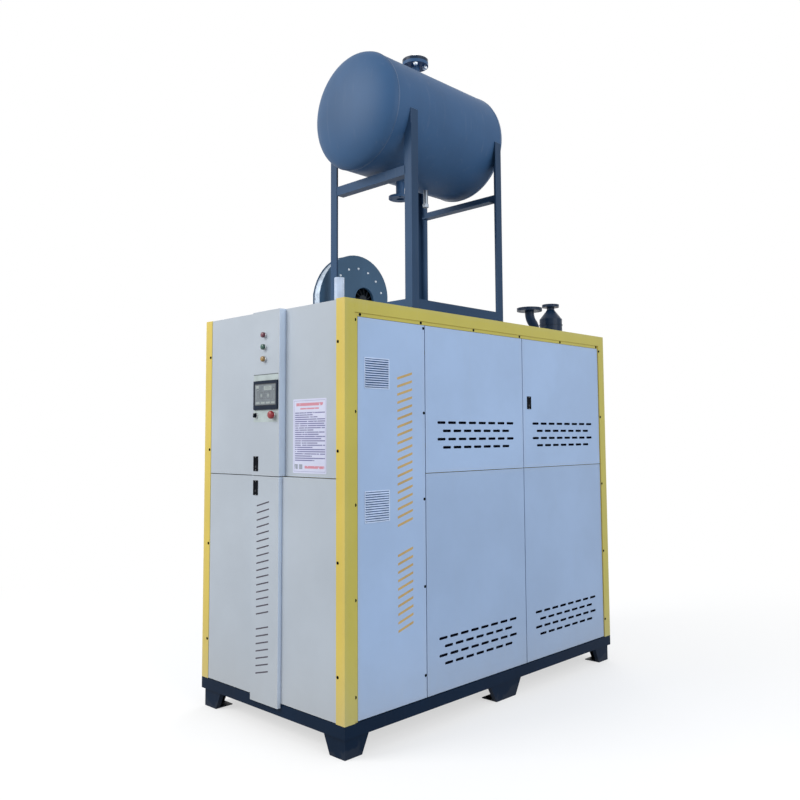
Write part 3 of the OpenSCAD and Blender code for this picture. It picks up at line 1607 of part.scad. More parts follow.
module valve_handwheel() {
  x1 = bonnet_l + wheel_stand_off;
  color("#a52a2a") corner() translate([-loop_x, pump_discharge_y, valve_z]) {
    rod_x(stem_r, valve_r - stem_r, x1, 0, 0);
    translate([x1 - wheel_rod_r, 0, 0]) rotate([0, 90, 0]) {
      rotate_extrude() translate([wheel_ring_r, 0]) circle(r = wheel_rod_r);
      cylinder(r = 2 * stem_r, h = 2 * wheel_rod_r, center = true);
      for (i = [0:2]) rotate([0, 0, i * 120]) rotate([0, 90, 0])
        cylinder(r = wheel_rod_r / 2, h = wheel_ring_r);
    }
  }
}

gear_x0 = -cabinet_w + gear_side_gap;
gear_x1 = -gear_side_gap;

module electrical_plate() {
  stop_y = side_split_1 - stile_w / 2 - sheet;
  front_y = stop_y - gear_plate_t - gear_stand_off;
  color("#d3d7da") corner() {
    block([gear_x0, front_y, gear_z0], [gear_x1, front_y + gear_plate_t, gear_z1]);
    for (x = [gear_x0 + gear_stud_in, gear_x1 - gear_stud_in],
         z = [gear_z0 + gear_stud_in, gear_z1 - gear_stud_in])
      rod_y(stud_r, front_y + gear_plate_t, stop_y, x, z);
  }
}

module switchgear() {
  y1 = side_split_1 - stile_w / 2 - sheet - gear_plate_t - gear_stand_off;
  x0 = gear_x0 + gear_stud_in;
  x1 = gear_x1 - gear_stud_in;
  color("#4a4f55") corner() for (row = [0:duct_count - 1]) {
    duct_z = gear_z0 + duct_in + row * duct_pitch;
    z = duct_z + (duct_w + duct_pitch) / 2;
    block([x0, y1 - duct_d, duct_z], [x1, y1, duct_z + duct_w]);
    if (row < duct_count - 1) {
      block([x0, y1 - mount_rail_d, z - mount_rail_h / 2], [x1, y1, z + mount_rail_h / 2]);
      for (i = [0:rail_device_count - 1]) {
        x = (x0 + x1) / 2 + (i - (rail_device_count - 1) / 2) * rail_device_pitch;
        block([x - rail_device_w / 2, y1 - rail_device_d, z - rail_device_h / 2],
              [x + rail_device_w / 2, y1 - mount_rail_d + over, z + rail_device_h / 2]);
      }
    }
  }
}

base_frame();
feet();
cabinet_frame();
roof_panel();
partition_wall();
front_upper_door();
front_lower_door();
front_upper_panel();
front_lower_panel();
side_louvre_panel();
side_door_front();
side_door_rear();
side_lower_panels();
left_side_panels();
rear_panels();
louvre_grilles();
front_upper_lock_case();
front_upper_lock_lever();
front_lower_lock_case();
front_lower_lock_lever();
side_lock_case();
side_lock_lever();
hinge_brackets();
hinge_pins();
panel_screws();
lamp_red();
lamp_green();
lamp_amber();
switch_collars();
display_bezel();
display_screen();
selector_knob();
stop_button();
blower_scroll();
blower_side_plates();
blower_wheel();
blower_motor();
conduit_riser();
tank_shell();
tank_heads();
tank_nozzles();
tank_cover_flange();
tank_drain_plug();
tank_stand();
flange_bolts();
heater_vessel();
vessel_jacket();
heater_bundle();
terminal_box();
inner_skid();
pump_casing();
pump_rotor();
pump_motor();
oil_pipes();
hot_outlet_pipe();
separator();
valve_body();
valve_handwheel();
electrical_plate();
switchgear();
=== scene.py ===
import json
from math import cos, pi, radians, sin, tau

import bpy
import numpy as np
from mathutils import Matrix, Vector


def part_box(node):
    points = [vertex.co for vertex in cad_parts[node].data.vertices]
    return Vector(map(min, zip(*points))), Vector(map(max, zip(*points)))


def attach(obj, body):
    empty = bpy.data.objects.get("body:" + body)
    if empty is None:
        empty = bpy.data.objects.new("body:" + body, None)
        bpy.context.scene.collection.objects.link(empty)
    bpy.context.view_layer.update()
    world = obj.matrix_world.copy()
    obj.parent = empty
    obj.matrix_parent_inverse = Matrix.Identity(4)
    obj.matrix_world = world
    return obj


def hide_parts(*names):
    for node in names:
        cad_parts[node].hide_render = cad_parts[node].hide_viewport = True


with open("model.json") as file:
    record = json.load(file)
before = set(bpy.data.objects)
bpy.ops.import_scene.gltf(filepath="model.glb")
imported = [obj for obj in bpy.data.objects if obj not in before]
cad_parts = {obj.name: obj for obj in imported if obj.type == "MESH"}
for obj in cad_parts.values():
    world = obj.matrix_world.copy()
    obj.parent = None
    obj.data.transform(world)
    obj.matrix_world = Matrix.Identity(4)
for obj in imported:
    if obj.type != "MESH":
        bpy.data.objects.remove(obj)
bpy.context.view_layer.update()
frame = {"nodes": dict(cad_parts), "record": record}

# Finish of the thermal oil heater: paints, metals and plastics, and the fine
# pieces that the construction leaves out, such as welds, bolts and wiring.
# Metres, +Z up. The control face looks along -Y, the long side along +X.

# ---------------------------------------------------------------- shader maths


class Val:
    """What one socket gives; arithmetic on it adds Math nodes to the same graph."""

    def __init__(self, net, socket):
        self.net = net
        self.socket = socket

    def _math(self, operation, *values):
        return self.net.node("Math", {"operation": operation}, dict(enumerate(values)))

    def __rsub__(self, other):
        return self._math("SUBTRACT", other, self)

    def ramp(self, low, high, start=0.0, end=1.0):
        """Goes smoothly from start to end as the value goes from low to high."""
        return self.net.node(
            "MapRange", {"interpolation_type": "SMOOTHSTEP"},
            {0: self, 1: low, 2: high, 3: start, 4: end})


# Each of these methods adds one Math node.
for method, operation in {"__add__": "ADD", "__radd__": "ADD", "__sub__": "SUBTRACT",
                          "__mul__": "MULTIPLY", "__rmul__": "MULTIPLY",
                          "__truediv__": "DIVIDE", "__mod__": "FLOORED_MODULO",
                          "__abs__": "ABSOLUTE", "floor": "FLOOR", "root": "SQRT",
                          "least": "MINIMUM", "most": "MAXIMUM"}.items():
    setattr(Val, method, lambda self, *other, kind=operation: self._math(kind, self, *other))


class Graph:
    """The nodes of a material or of the world, and the one way in which they are made."""

    def __init__(self, owner, end):
        owner.use_nodes = True
        self.tree = owner.node_tree
        self.tree.nodes.clear()
        self.end = self.tree.nodes.new("ShaderNode" + end)

    def feed(self, socket, value):
        """Links a value to a socket, or writes a plain number or colour into it."""
        if isinstance(value, Val):
            self.tree.links.new(value.socket, socket)
        else:
            socket.default_value = value

    def node(self, kind, settings=None, inputs=None, out=0):
        """Adds a node: its settings first, then its socket values or links."""
        made = self.tree.nodes.new("ShaderNode" + kind)
        for key, value in (settings or {}).items():
            setattr(made, key, value)
        for key, value in (inputs or {}).items():
            self.feed(made.inputs[key], value)
        return Val(self, made.outputs[out])

    def seen(self):
        """1 for what the camera, a mirror or a clear thing looks at, 0 for other light."""
        path = self.tree.nodes.new("ShaderNodeLightPath")
        camera, glossy, clear = [Val(self, path.outputs[f"Is {kind} Ray"])
                                 for kind in ("Camera", "Glossy", "Transmission")]
        return camera.most(glossy).most(clear)


class Net(Graph):
    """One material: a Principled shader and the nodes that feed it."""

    def __init__(self, name, **fixed):
        self.material = bpy.data.materials.new(name)
        super().__init__(self.material, "OutputMaterial")
        self.shader = self.tree.nodes.new("ShaderNodeBsdfPrincipled")
        self.tree.links.new(self.shader.outputs[0], self.end.inputs[0])
        self.set(**fixed)
        self.coordinates = self.node("TexCoord", out="Object")
        self.x, self.y, self.z = [
            self.node("SeparateXYZ", inputs={0: self.coordinates}, out=i) for i in range(3)]

    def set(self, **sockets):
        """Sets or links the shader's own sockets; an underscore stands for a space."""
        for key, value in sockets.items():
            self.feed(self.shader.inputs[key.replace("_", " ")], value)

    def stretched(self, scale, place):
        """Object coordinates, moved and then stretched by a scale on each axis."""
        return self.node("Mapping", {"vector_type": "POINT"},
                         {0: self.coordinates, 1: place, 3: scale})

    def noise(self, scale, detail, rough=0.55, stretch=None, place=(0, 0, 0)):
        """Smooth noise from 0 to 1; scale counts its lumps in a metre."""
        where = self.stretched(stretch or (1, 1, 1), place)
        return self.node("TexNoise", {}, {"Vector": where, "Scale": scale, "Detail": detail,
                                          "Roughness": rough})

    def mix(self, share, first, second, blend="MIX"):
        """Colour between first and second by share."""
        first, second = [c if isinstance(c, Val) else (*c, 1) for c in (first, second)]
        return self.node("Mix", {"data_type": "RGBA", "blend_type": blend},
                         {0: share, 6: first, 7: second}, out=2)

    def bump(self, height, depth, strength, under=None):
        """Normal of a relief whose height goes from 0 to 1 over a depth in metres."""
        inputs = {"Height": height, "Distance": depth, "Strength": strength}
        if under is not None:
            inputs["Normal"] = under
        return self.node("Bump", {}, inputs)

    def rim(self, low, high):
        """Distance to the nearest edge of a box: the middle one of the three distances."""
        a, b, c = [abs((axis - (l + h) / 2)) * -1 + (h - l) / 2
                   for axis, l, h in zip((self.x, self.y, self.z), low, high)]
        a, b, c = abs(a), abs(b), abs(c)
        return a.least(b).most(a.most(b).least(c))

    def window(self, low, high, part=(0, 0, 1, 1), inset=0.0):
        """1 inside a rectangle on the front of a box, 0 outside. The part is given as shares
        of the front's width and height, left, low, right, high, and drawn in by inset."""
        sides = []
        for axis, l, h, u0, u1 in ((self.x, low[0], high[0], part[0], part[2]),
                                   (self.z, low[2], high[2], part[1], part[3])):
            start, end = l + u0 * (h - l) + inset, l + u1 * (h - l) - inset
            sides.append(abs(axis - (start + end) / 2) - (end - start) / 2)
        return sides[0].most(sides[1]).ramp(-0.0004, 0.0004, 1.0, 0.0)

    def reach(self, x, z):
        """Distance from an upright front's point, across and up."""
        dx, dz = self.x - x, self.z - z
        return (dx * dx + dz * dz).root()

    def ring(self, x, z, radius, width):
        """1 on a circle line of an upright front, 0 elsewhere."""
        away = abs(self.reach(x, z) - radius)
        return away.ramp(width / 2 - 0.0003, width / 2 + 0.0003, 1.0, 0.0)


def shade(colour, factor):
    """A colour made lighter or darker by a factor."""
    return tuple(min(1.0, part * factor) for part in colour)


# ------------------------------------------------------------------- finishes

DUST = (0.47, 0.45, 0.41)


def paint(name, colour, rough, peel=0.5, wave=0.5, mottle=0.06, dust=0.30, dust_top=0.75,
          coat=0.0, box=None, side=None, streak=0.5, shine=0.5, lining=None):
    """Sprayed or powder coated steel: slow tone clouds, fine orange peel, sheet waves,
    run streaks, dust that thickens towards the floor, and brighter edges, partly rubbed wear
    and partly a painted highlight. A side colour goes on faces that look along X: painted
    skylight on the pale doors, painted shade on the yellow frame and the stand. A lining goes on
    those that look into the cabinet."""
    net = Net(name, IOR=1.5, Coat_Weight=coat, Coat_Roughness=0.12, Specular_IOR_Level=shine)
    base = colour
    facing = net.node("TexCoord", out="Normal")
    # Faces that look along X take the side colour: painted light or painted shade, as the caller
    # gives it.
    if side is not None:
        across = abs(net.node("SeparateXYZ", inputs={0: facing}))
        base = net.mix(across.ramp(0.55, 0.8), colour, side)
    cloud = net.noise(1.7, 4.0, 0.6)
    blotch = net.noise(9.0, 3.0, 0.5, place=(3.1, 1.7, 0.4))
    tone = net.mix(cloud.ramp(0.3, 0.72), (1 - mottle,) * 3, (1 + mottle * 0.6,) * 3)
    made = net.mix(1.0, base, tone, "MULTIPLY")
    runs = net.noise(1.0, 4.0, 0.65, stretch=(34, 34, 1.1), place=(0.7, 2.2, 5.0))
    made = net.mix(runs.ramp(0.56, 0.78) * (0.10 * streak), made, DUST)
    fleck = net.noise(420.0, 2.0, 0.6)
    made = net.mix(fleck.ramp(0.66, 0.74) * 0.05, made, DUST)
    low = (net.z + (blotch - 0.5) * 0.25).ramp(0.02, dust_top, 1.0, 0.0)
    grime = low * low * dust * blotch.ramp(0.25, 0.7, 0.55, 1.0)
    made = net.mix(grime, made, DUST)
    polish = rough + cloud * 0.06 + fleck.ramp(0.5, 0.8) * 0.05 + grime * 0.5
    if box is not None:
        away = net.rim(*box)
        chips = net.noise(55.0, 4.0, 0.7, place=(1.3, 0.2, 2.5))
        # Edges come out 12% lighter: partly rubbed wear, partly a painted highlight along the
        # edges.
        rub_and_highlight = (away + (chips - 0.5) * 0.006).ramp(0.0006, 0.0042, 1.0, 0.0)
        worn_and_highlit = net.mix(1.0, made, (1.12,) * 3, "MULTIPLY")
        made = net.mix(rub_and_highlight * 0.75, made, worn_and_highlit)
        dirt = (away + (blotch - 0.5) * 0.02).ramp(0.004, 0.030, 1.0, 0.0)
        made = net.mix(dirt * 0.07, made, DUST)
        polish = polish - rub_and_highlight * 0.08
    if lining is not None:
        axis, sign = lining
        inward = net.node("SeparateXYZ", inputs={0: facing}, out=axis) * sign
        felt = net.mix(net.noise(90.0, 3.0, 0.7).ramp(0.3, 0.7),
                       (0.013, 0.014, 0.016), (0.026, 0.028, 0.031))
        made = net.mix(inward.ramp(0.4, 0.6), made, felt)
        polish = polish + inward.ramp(0.4, 0.6) * 0.5
    net.set(Base_Color=made, Roughness=polish.most(0.08).least(0.95))
    skin = net.bump(net.noise(260.0, 2.0, 0.5), 0.00012, 0.35 * peel)
    sheet = net.bump(net.noise(3.2, 2.0, 0.4, place=(4.0, 1.0, 2.0)), 0.004, 0.16 * wave, skin)
    net.set(Normal=sheet)
    return net.material


def machined(name, colour=(0.56, 0.57, 0.58), rough=0.28, lines=(1, 1, 60), oily=0.25):
    """Turned or drawn steel: fine lines along one way, stains and a thin oil film."""
    net = Net(name, Metallic=1.0)
    grain = net.noise(40.0, 4.0, 0.7, stretch=lines)
    stain = net.noise(22.0, 4.0, 0.6, place=(2.0, 0.3, 1.1))
    tone = net.mix(grain.ramp(0.3, 0.7), shade(colour, 0.84), shade(colour, 1.14))
    tone = net.mix(stain.ramp(0.52, 0.75) * oily, tone, (0.17, 0.15, 0.13))
    net.set(Base_Color=tone,
            Roughness=rough + grain * 0.14 + stain.ramp(0.45, 0.8) * 0.18,
            Normal=net.bump(grain, 0.00015, 0.3))
    return net.material


def zinc_sheet(name, colour):
    """Galvanised sheet: crystals with their own tone and gloss, and dull white bloom."""
    net = Net(name, Metallic=0.85)
    crystal = net.node("TexVoronoi", {"feature": "F1"},
                       {"Vector": net.coordinates, "Scale": 70.0, "Randomness": 1.0}, out="Color")
    flake = net.node("SeparateColor", inputs={0: crystal})
    bloom = net.noise(6.0, 4.0, 0.6)
    tone = net.mix(flake, shade(colour, 0.90), shade(colour, 1.08))
    tone = net.mix(bloom.ramp(0.5, 0.75) * 0.35, tone, (0.66, 0.68, 0.69))
    net.set(Base_Color=tone, Roughness=0.34 + flake * 0.16 + bloom.ramp(0.4, 0.8) * 0.2,
            Normal=net.bump(net.noise(160.0, 2.0), 0.0001, 0.3))
    return net.material


def cladding(name, colour):
    """Rolled aluminium cladding: fine lines round the shell, dents and dull patches."""
    net = Net(name, Metallic=1.0)
    lines = net.noise(30.0, 3.0, 0.6, stretch=(1, 26, 1))
    dents = net.noise(7.0, 3.0, 0.5, place=(1.0, 0.0, 3.0))
    tone = net.mix(lines.ramp(0.35, 0.65), shade(colour, 0.9), shade(colour, 1.08))
    net.set(Base_Color=net.mix(dents.ramp(0.5, 0.8) * 0.25, tone, (0.42, 0.42, 0.42)),
            Roughness=0.26 + lines * 0.12 + dents.ramp(0.4, 0.8) * 0.15,
            Normal=net.bump(dents, 0.006, 0.25, net.bump(lines, 0.0002, 0.3)))
    return net.material


def moulded(name, colour, rough=0.42, grain=0.5, wear=0.10, coat=0.0, shine=0.5):
    """Moulded plastic or a small casting: spark texture, hand shine and pale scuffs."""
    net = Net(name, IOR=1.46, Coat_Weight=coat, Coat_Roughness=0.08, Specular_IOR_Level=shine)
    spark = net.noise(900.0, 2.0, 0.6)
    hands = net.noise(18.0, 3.0, 0.6)
    scuff = net.noise(60.0, 4.0, 0.75, stretch=(1, 1, 0.35), place=(5.0, 2.0, 1.0))
    tone = net.mix(hands.ramp(0.3, 0.7), shade(colour, 0.90), shade(colour, 1.10))
    tone = net.mix(scuff.ramp(0.62, 0.74) * wear, tone, (0.55, 0.55, 0.54))
    net.set(Base_Color=tone, Roughness=rough + hands * 0.12 - 0.06 + scuff.ramp(0.6, 0.8) * 0.12,
            Normal=net.bump(spark, 0.00008, 0.35 * grain))
    return net.material


def lens(name, colour, centre):
    """Clear moulded lens: lighter in its middle and darker towards its rim, a painted shade at the
    rim; pressed rings, glossy coat.
    """
    net = Net(name, IOR=1.49, Coat_Weight=0.4, Coat_Roughness=0.05)
    away = net.reach(centre[0], centre[2])
    cloud = net.noise(300.0, 2.0, 0.5)
    # Lighter in the middle, darker towards the rim: painted shade at the rim.
    tone = net.mix(away.ramp(0.002, 0.012), shade(colour, 1.25), shade(colour, 0.72))
    tone = net.mix(cloud.ramp(0.55, 0.75) * 0.10, tone, shade(colour, 1.8))
    rings = net.node("Math", {"operation": "SINE"}, {0: away * (tau / 0.0016)})
    net.set(Base_Color=tone, Roughness=0.16 + cloud * 0.08,
            Normal=net.bump(rings * 0.5 + 0.5, 0.00025, 0.5))
    return net.material


def rubber(name, colour=(0.03, 0.03, 0.032), rough=0.7):
    """Extruded seal or cable skin: matt, with pale dust in its grain."""
    net = Net(name, IOR=1.5)
    dust = net.noise(45.0, 4.0, 0.7)
    net.set(Base_Color=net.mix(dust.ramp(0.5, 0.75) * 0.3, colour, shade(DUST, 0.5)),
            Roughness=rough + dust * 0.15, Normal=net.bump(dust, 0.0004, 0.3))
    return net.material


def screen_glass(name, low, high, face):
    """Panel display behind dull glass: a plain process picture of boxes, pipes and dials."""
    net = Net(name, IOR=1.5, Coat_Weight=0.6, Coat_Roughness=0.06)
    haze = net.noise(26.0, 4.0, 0.6)
    tone = net.mix(haze.ramp(0.25, 0.75), (0.118, 0.148, 0.172), (0.185, 0.220, 0.248))
    pale, dark = (0.42, 0.48, 0.46), (0.060, 0.075, 0.090)
    for part in ((0.44, 0.70, 0.80, 0.90), (0.06, 0.08, 0.24, 0.16), (0.30, 0.08, 0.48, 0.16),
                 (0.54, 0.08, 0.72, 0.16), (0.78, 0.08, 0.94, 0.16), (0.05, 0.80, 0.20, 0.92)):
        tone = net.mix(net.window(low, high, part) * 0.75, tone, pale)
    for part in ((0.14, 0.30, 0.86, 0.318), (0.14, 0.30, 0.153, 0.62), (0.84, 0.30, 0.853, 0.62),
                 (0.47, 0.30, 0.483, 0.66), (0.28, 0.60, 0.70, 0.618), (0.03, 0.955, 0.97, 0.966),
                 (0.03, 0.225, 0.97, 0.236), (0.50, 0.78, 0.74, 0.80), (0.50, 0.84, 0.68, 0.86)):
        tone = net.mix(net.window(low, high, part) * 0.7, tone, dark)
    for u, v, radius in ((0.32, 0.46, 0.018), (0.64, 0.46, 0.018), (0.16, 0.70, 0.008),
                         (0.90, 0.72, 0.009)):
        x, z = low[0] + u * (high[0] - low[0]), low[2] + v * (high[2] - low[2])
        tone = net.mix(net.ring(x, z, radius, 0.0026) * 0.7, tone, dark)
        tone = net.mix(net.ring(x, z, 0.0, radius * 0.9) * 0.5, tone, pale)
    inside = net.window(low, high, inset=0.003)
    front = net.y.ramp(face - 0.0001, face + 0.0004, 1.0, 0.0)
    tone = net.mix(inside * front, (0.02, 0.022, 0.024), tone)
    smear = net.noise(14.0, 4.0, 0.7, stretch=(1, 1, 2.2))
    net.set(Base_Color=tone, Roughness=0.20 + smear.ramp(0.4, 0.8) * 0.22,
            Normal=net.bump(smear, 0.0003, 0.15))
    return net.material


def printed_card(name, low, high):
    """Laminated instruction sheet kept free of words: a thin border, ruled grey bars of
    uneven length for the lines, and two plain red bars for its heading."""
    net = Net(name, IOR=1.5, Coat_Weight=0.3, Coat_Roughness=0.2)
    tone = net.mix(net.noise(5.0, 3.0).ramp(0.3, 0.7), (0.60, 0.62, 0.79), (0.66, 0.68, 0.85))
    lines = (high[2] - net.z) / 0.0105      # lines counted from the top, at their pitch
    row, within = lines.floor(), lines % 1.0
    length = net.node("TexWhiteNoise", {"noise_dimensions": "1D"}, {"W": row * 3.7 + 0.31})
    reach = length.ramp(0.0, 0.6, 0.55, 0.96)
    across = (net.x - low[0]) / (high[0] - low[0])
    words = net.noise(90.0, 2.0, 0.7, stretch=(1, 1, 0.4)).ramp(0.33, 0.41)
    bar = abs(within - 0.5).ramp(0.20, 0.28, 1.0, 0.0) * words
    bar = bar * (across - reach).ramp(-0.01, 0.01, 1.0, 0.0) * across.ramp(0.055, 0.07)
    body = net.window(low, high, (0, 0.16, 1, 0.82))
    tone = net.mix(bar * body * 0.95, tone, (0.10, 0.10, 0.28))
    red, grey = (0.60, 0.10, 0.13), (0.16, 0.20, 0.24)
    for part, ink in (((0.10, 0.905, 0.90, 0.945), red), ((0.22, 0.858, 0.78, 0.878), red),
                      ((0.36, 0.065, 0.94, 0.100), red), ((0.05, 0.055, 0.15, 0.120), grey),
                      ((0.19, 0.055, 0.29, 0.120), grey)):
        tone = net.mix(net.window(low, high, part) * words * 0.75, tone, ink)
    border = net.window(low, high, inset=0.008) - net.window(low, high, inset=0.0095)
    tone = net.mix(border * 0.9, tone, (0.14, 0.15, 0.36))
    crease = net.noise(16.0, 3.0, 0.5)
    net.set(Base_Color=tone, Roughness=0.30 + crease * 0.15, Normal=net.bump(crease, 0.0006, 0.2))
    return net.material


# --------------------------------------------------------------- shapes as grids


def grid(points, wrap_rows=False, caps=(False, False)):
    """Faces of a surface whose points stand in rows and columns: each face joins four
    neighbours, a wrapped way joins its last line to its first, as the columns always do,
    and a cap closes an end row."""
    rows, columns = points.shape[:2]
    index = np.arange(rows * columns).reshape(rows, columns)
    if wrap_rows:
        index = np.vstack([index, index[:1]])
    index = np.hstack([index, index[:, :1]])
    quads = np.stack([index[:-1, :-1], index[:-1, 1:], index[1:, 1:], index[1:, :-1]], -1)
    faces = [quads.reshape(-1, 4)]
    if caps[0]:
        faces.append(np.arange(columns)[::-1][None])
    if caps[1]:
        faces.append((np.arange(columns) + (rows - 1) * columns)[None])
    return points.reshape(-1, 3), faces


def lathe(profile, count):
    """Turns a profile of (radius, height) about Z. A radius of zero is a pole, closed with
    triangles; a profile that ends where it began is a ring."""
    profile = np.array(profile, float)
    ring = np.allclose(profile[0], profile[-1])
    if ring:
        profile = profile[:-1]
    poles = [not ring and profile[0, 0] == 0, not ring and profile[-1, 0] == 0]
    body = profile[int(poles[0]):len(profile) - int(poles[1])]
    angle = np.arange(count) * tau / count
    points = np.stack([np.outer(body[:, 0], np.cos(angle)), np.outer(body[:, 0], np.sin(angle)),
                       np.repeat(body[:, 1:], count, 1)], -1)
    verts, faces = grid(points, wrap_rows=ring)
    here = np.arange(count)
    there = np.roll(here, -1)
    for end, pole in enumerate(poles):
        if pole:
            tip = len(verts)
            verts = np.vstack([verts, [[0, 0, profile[-end, 1]]]])
            start = 0 if end == 0 else (len(body) - 1) * count
            fan = np.stack([here + start, there + start, np.full(count, tip)], -1)
            faces.append(fan if end else fan[:, ::-1])
    return outward((verts, faces))


def outward(shape):
    """Turns the faces round where the volume that they enclose comes out negative."""
    verts, faces = shape
    volume = 0.0
    for group in faces:
        first = verts[group[:, 0]]
        for k in range(1, group.shape[1] - 1):
            across = np.cross(verts[group[:, k]], verts[group[:, k + 1]])
            volume += np.einsum("ij,ij->", first, across)
    return (verts, [g[:, ::-1] for g in faces]) if volume < 0 else shape


def outline(width, depth, corner, steps):
    """Rounded rectangle: a quarter circle at each corner, in turn."""
    turn = np.linspace(0, pi / 2, steps)
    arc = np.stack([np.cos(turn), np.sin(turn)], -1) * corner
    parts = []
    for k, (sx, sy) in enumerate(((1, 1), (-1, 1), (-1, -1), (1, -1))):
        c, s = (1, 0, -1, 0)[k], (0, 1, 0, -1)[k]
        centre = np.array([sx * (width / 2 - corner), sy * (depth / 2 - corner)])
        parts.append(centre + arc @ np.array([[c, s], [-s, c]]))
    return np.vstack(parts)


def slab(width, depth, height, corner, edge, steps=5):
    """Plate on z = 0: one rounded outline at four levels, drawn in at both ends so that
    its edges are broken, with a flat cap on each end."""
    levels = ((edge, 0), (0, edge), (0, height - edge), (edge, height))
    rows = [np.hstack([outline(width - 2 * i, depth - 2 * i, max(corner - i, 1e-5), steps),
                       np.full((4 * steps, 1), z)]) for i, z in levels]
    return outward(grid(np.array(rows), caps=(True, True)))


def along(path, section, up, closed=False, scale=None):
    """Carries a section along a path: at each point the section lies across the path's
    direction, its first way towards up, and grows by scale."""
    path, section = np.array(path, float), np.array(section, float)
    if closed:
        heading = np.roll(path, -1, 0) - np.roll(path, 1, 0)
    else:
        heading = np.gradient(path, axis=0)
    heading /= np.linalg.norm(heading, axis=1)[:, None]
    up = np.broadcast_to(np.array(up, float), path.shape)
    first = up - heading * np.einsum("ij,ij->i", up, heading)[:, None]
    first /= np.linalg.norm(first, axis=1)[:, None]
    second = np.cross(heading, first)
    size = np.ones(len(path)) if scale is None else np.array(scale, float)
    points = (path[:, None] + section[None, :, :1] * (first * size[:, None])[:, None]
              + section[None, :, 1:] * (second * size[:, None])[:, None])
    return outward(grid(points, wrap_rows=closed, caps=(not closed, not closed)))


def circle(radius, count, flat=1.0):
    """Circle of points, flattened on its first way."""
    angle = np.arange(count) * tau / count
    return np.stack([np.cos(angle) * radius * flat, np.sin(angle) * radius], -1)


def bead(path, up, width, closed, pitch):
    """Weld bead: a flat oval carried along the joint, whose size swells and falls once
    for each ripple that the welder leaves."""
    path = np.array(path, float)
    step = np.linalg.norm(np.diff(path, axis=0), axis=1).mean()
    phase = np.arange(len(path)) * step / pitch
    swell = 1 + 0.10 * np.sin(phase * tau) + 0.05 * np.sin(phase * 0.37 * tau)
    return along(path, circle(width, 8, 0.45), up, closed, swell)


def joined(*shapes):
    """Several shapes as one, their faces counted on."""
    verts, faces, start = [], [], 0
    for v, f in shapes:
        verts.append(v)
        faces += [group + start for group in f]
        start += len(v)
    return np.vstack(verts), faces


def put(shape, places=(0, 0, 0), turn=None):
    """Turns a shape, or scales it, by three rows of numbers, and sets a copy of it on each
    place: the points are added to the place."""
    verts, faces = shape
    if turn is not None:
        verts = verts @ turn.T
    places = np.array(places, float).reshape(-1, 3)
    step = np.arange(len(places)) * len(verts)
    moved = (places[:, None] + verts[None]).reshape(-1, 3)
    return moved, [(step[:, None, None] + group[None]).reshape(-1, group.shape[1])
                   for group in faces]


def turned(axis, degrees):
    """Turn about an axis as three rows of numbers."""
    return np.array(Matrix.Rotation(radians(degrees), 3, axis))


def spun(shape, degrees):
    """Copies of a shape turned about Z, one at each angle."""
    return joined(*[put(shape, turn=turned("Z", angle)) for angle in degrees])


def prism(corners, length):
    """Extruded section: its corners in turn at two levels, with a flat cap on each end."""
    corners = np.array(corners, float)
    rows = [np.hstack([corners, np.full((len(corners), 1), z)]) for z in (0, length)]
    return outward(grid(np.array(rows), caps=(True, True)))


def frame_ring(width, depth, wall, height, corner):
    """Flat frame on z = 0: rounded outlines, out at the rim and in at the hole, joined in a
    closed loop of levels whose edges are broken."""
    edge = 0.0006
    levels = ((0, 0), (0, height - edge), (edge, height),
              (wall - edge, height), (wall, height - edge), (wall, 0))
    rows = [np.hstack([outline(width - 2 * i, depth - 2 * i, max(corner - i, 1e-4), 4),
                       np.full((16, 1), z)]) for i, z in levels]
    return outward(grid(np.array(rows), wrap_rows=True))


def torus(radius, tube, count, sides):
    """Ring: a small circle carried round a large one."""
    angle = np.arange(sides) * tau / sides
    rows = np.stack([radius + tube * np.cos(angle), tube * np.sin(angle)], -1)
    return lathe(np.vstack([rows, rows[:1]]), count)


def bend(start, pull, end, steps):
    """Curve from start to end that leans towards pull: the three points weighed by the
    squares and the product of t and 1 - t."""
    t = np.linspace(0, 1, steps)[:, None]
    start, pull, end = [np.array(point, float) for point in (start, pull, end)]
    return (1 - t) ** 2 * start + 2 * t * (1 - t) * pull + t ** 2 * end


def piece(name, shape, slot, body="cabinet", material=None, stands_for=(), smooth=38):
    """Makes the mesh, gives it its finish, which is the slot's own if none is named, and
    lets it ride on its body."""
    verts, faces = shape
    mesh = bpy.data.meshes.new(name)
    mesh.vertices.add(len(verts))
    mesh.vertices.foreach_set("co", np.ascontiguousarray(verts, np.float32).ravel())
    corners = np.concatenate([g.ravel() for g in faces]).astype(np.int32)
    sizes = np.concatenate([np.full(len(g), g.shape[1]) for g in faces])
    starts = np.concatenate([[0], np.cumsum(sizes)[:-1]]).astype(np.int32)
    mesh.loops.add(len(corners))
    mesh.loops.foreach_set("vertex_index", corners)
    mesh.polygons.add(len(sizes))
    mesh.polygons.foreach_set("loop_start", starts)
    mesh.update(calc_edges=True)
    mesh.validate()
    mesh.polygons.foreach_set("use_smooth", np.ones(len(mesh.polygons), bool))
    mesh.set_sharp_from_angle(angle=radians(smooth))
    mesh.materials.append(material or finish[slot])
    made = bpy.data.objects.new(name, mesh)
    bpy.context.scene.collection.objects.link(made)
    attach(made, body)
    if stands_for:
        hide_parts(*stands_for)


TO_FRONT = turned("X", 90)      # a shape's +Z looks along -Y
TO_REAR = turned("X", -90)      # along +Y
TO_SIDE = turned("Y", 90)       # along +X
TO_LEFT = turned("Y", -90)      # along -X
DOWN = turned("X", 180)
SIDE_UP = turned("Z", 90) @ TO_FRONT     # +Z looks along +X, and +Y up
LEFT_UP = turned("Z", -90) @ TO_FRONT    # +Z looks along -X, and +Y up
ALONG_X = np.array([(0, 0, 1), (0, -1, 0), (1, 0, 0)])   # a section's ways go up and out

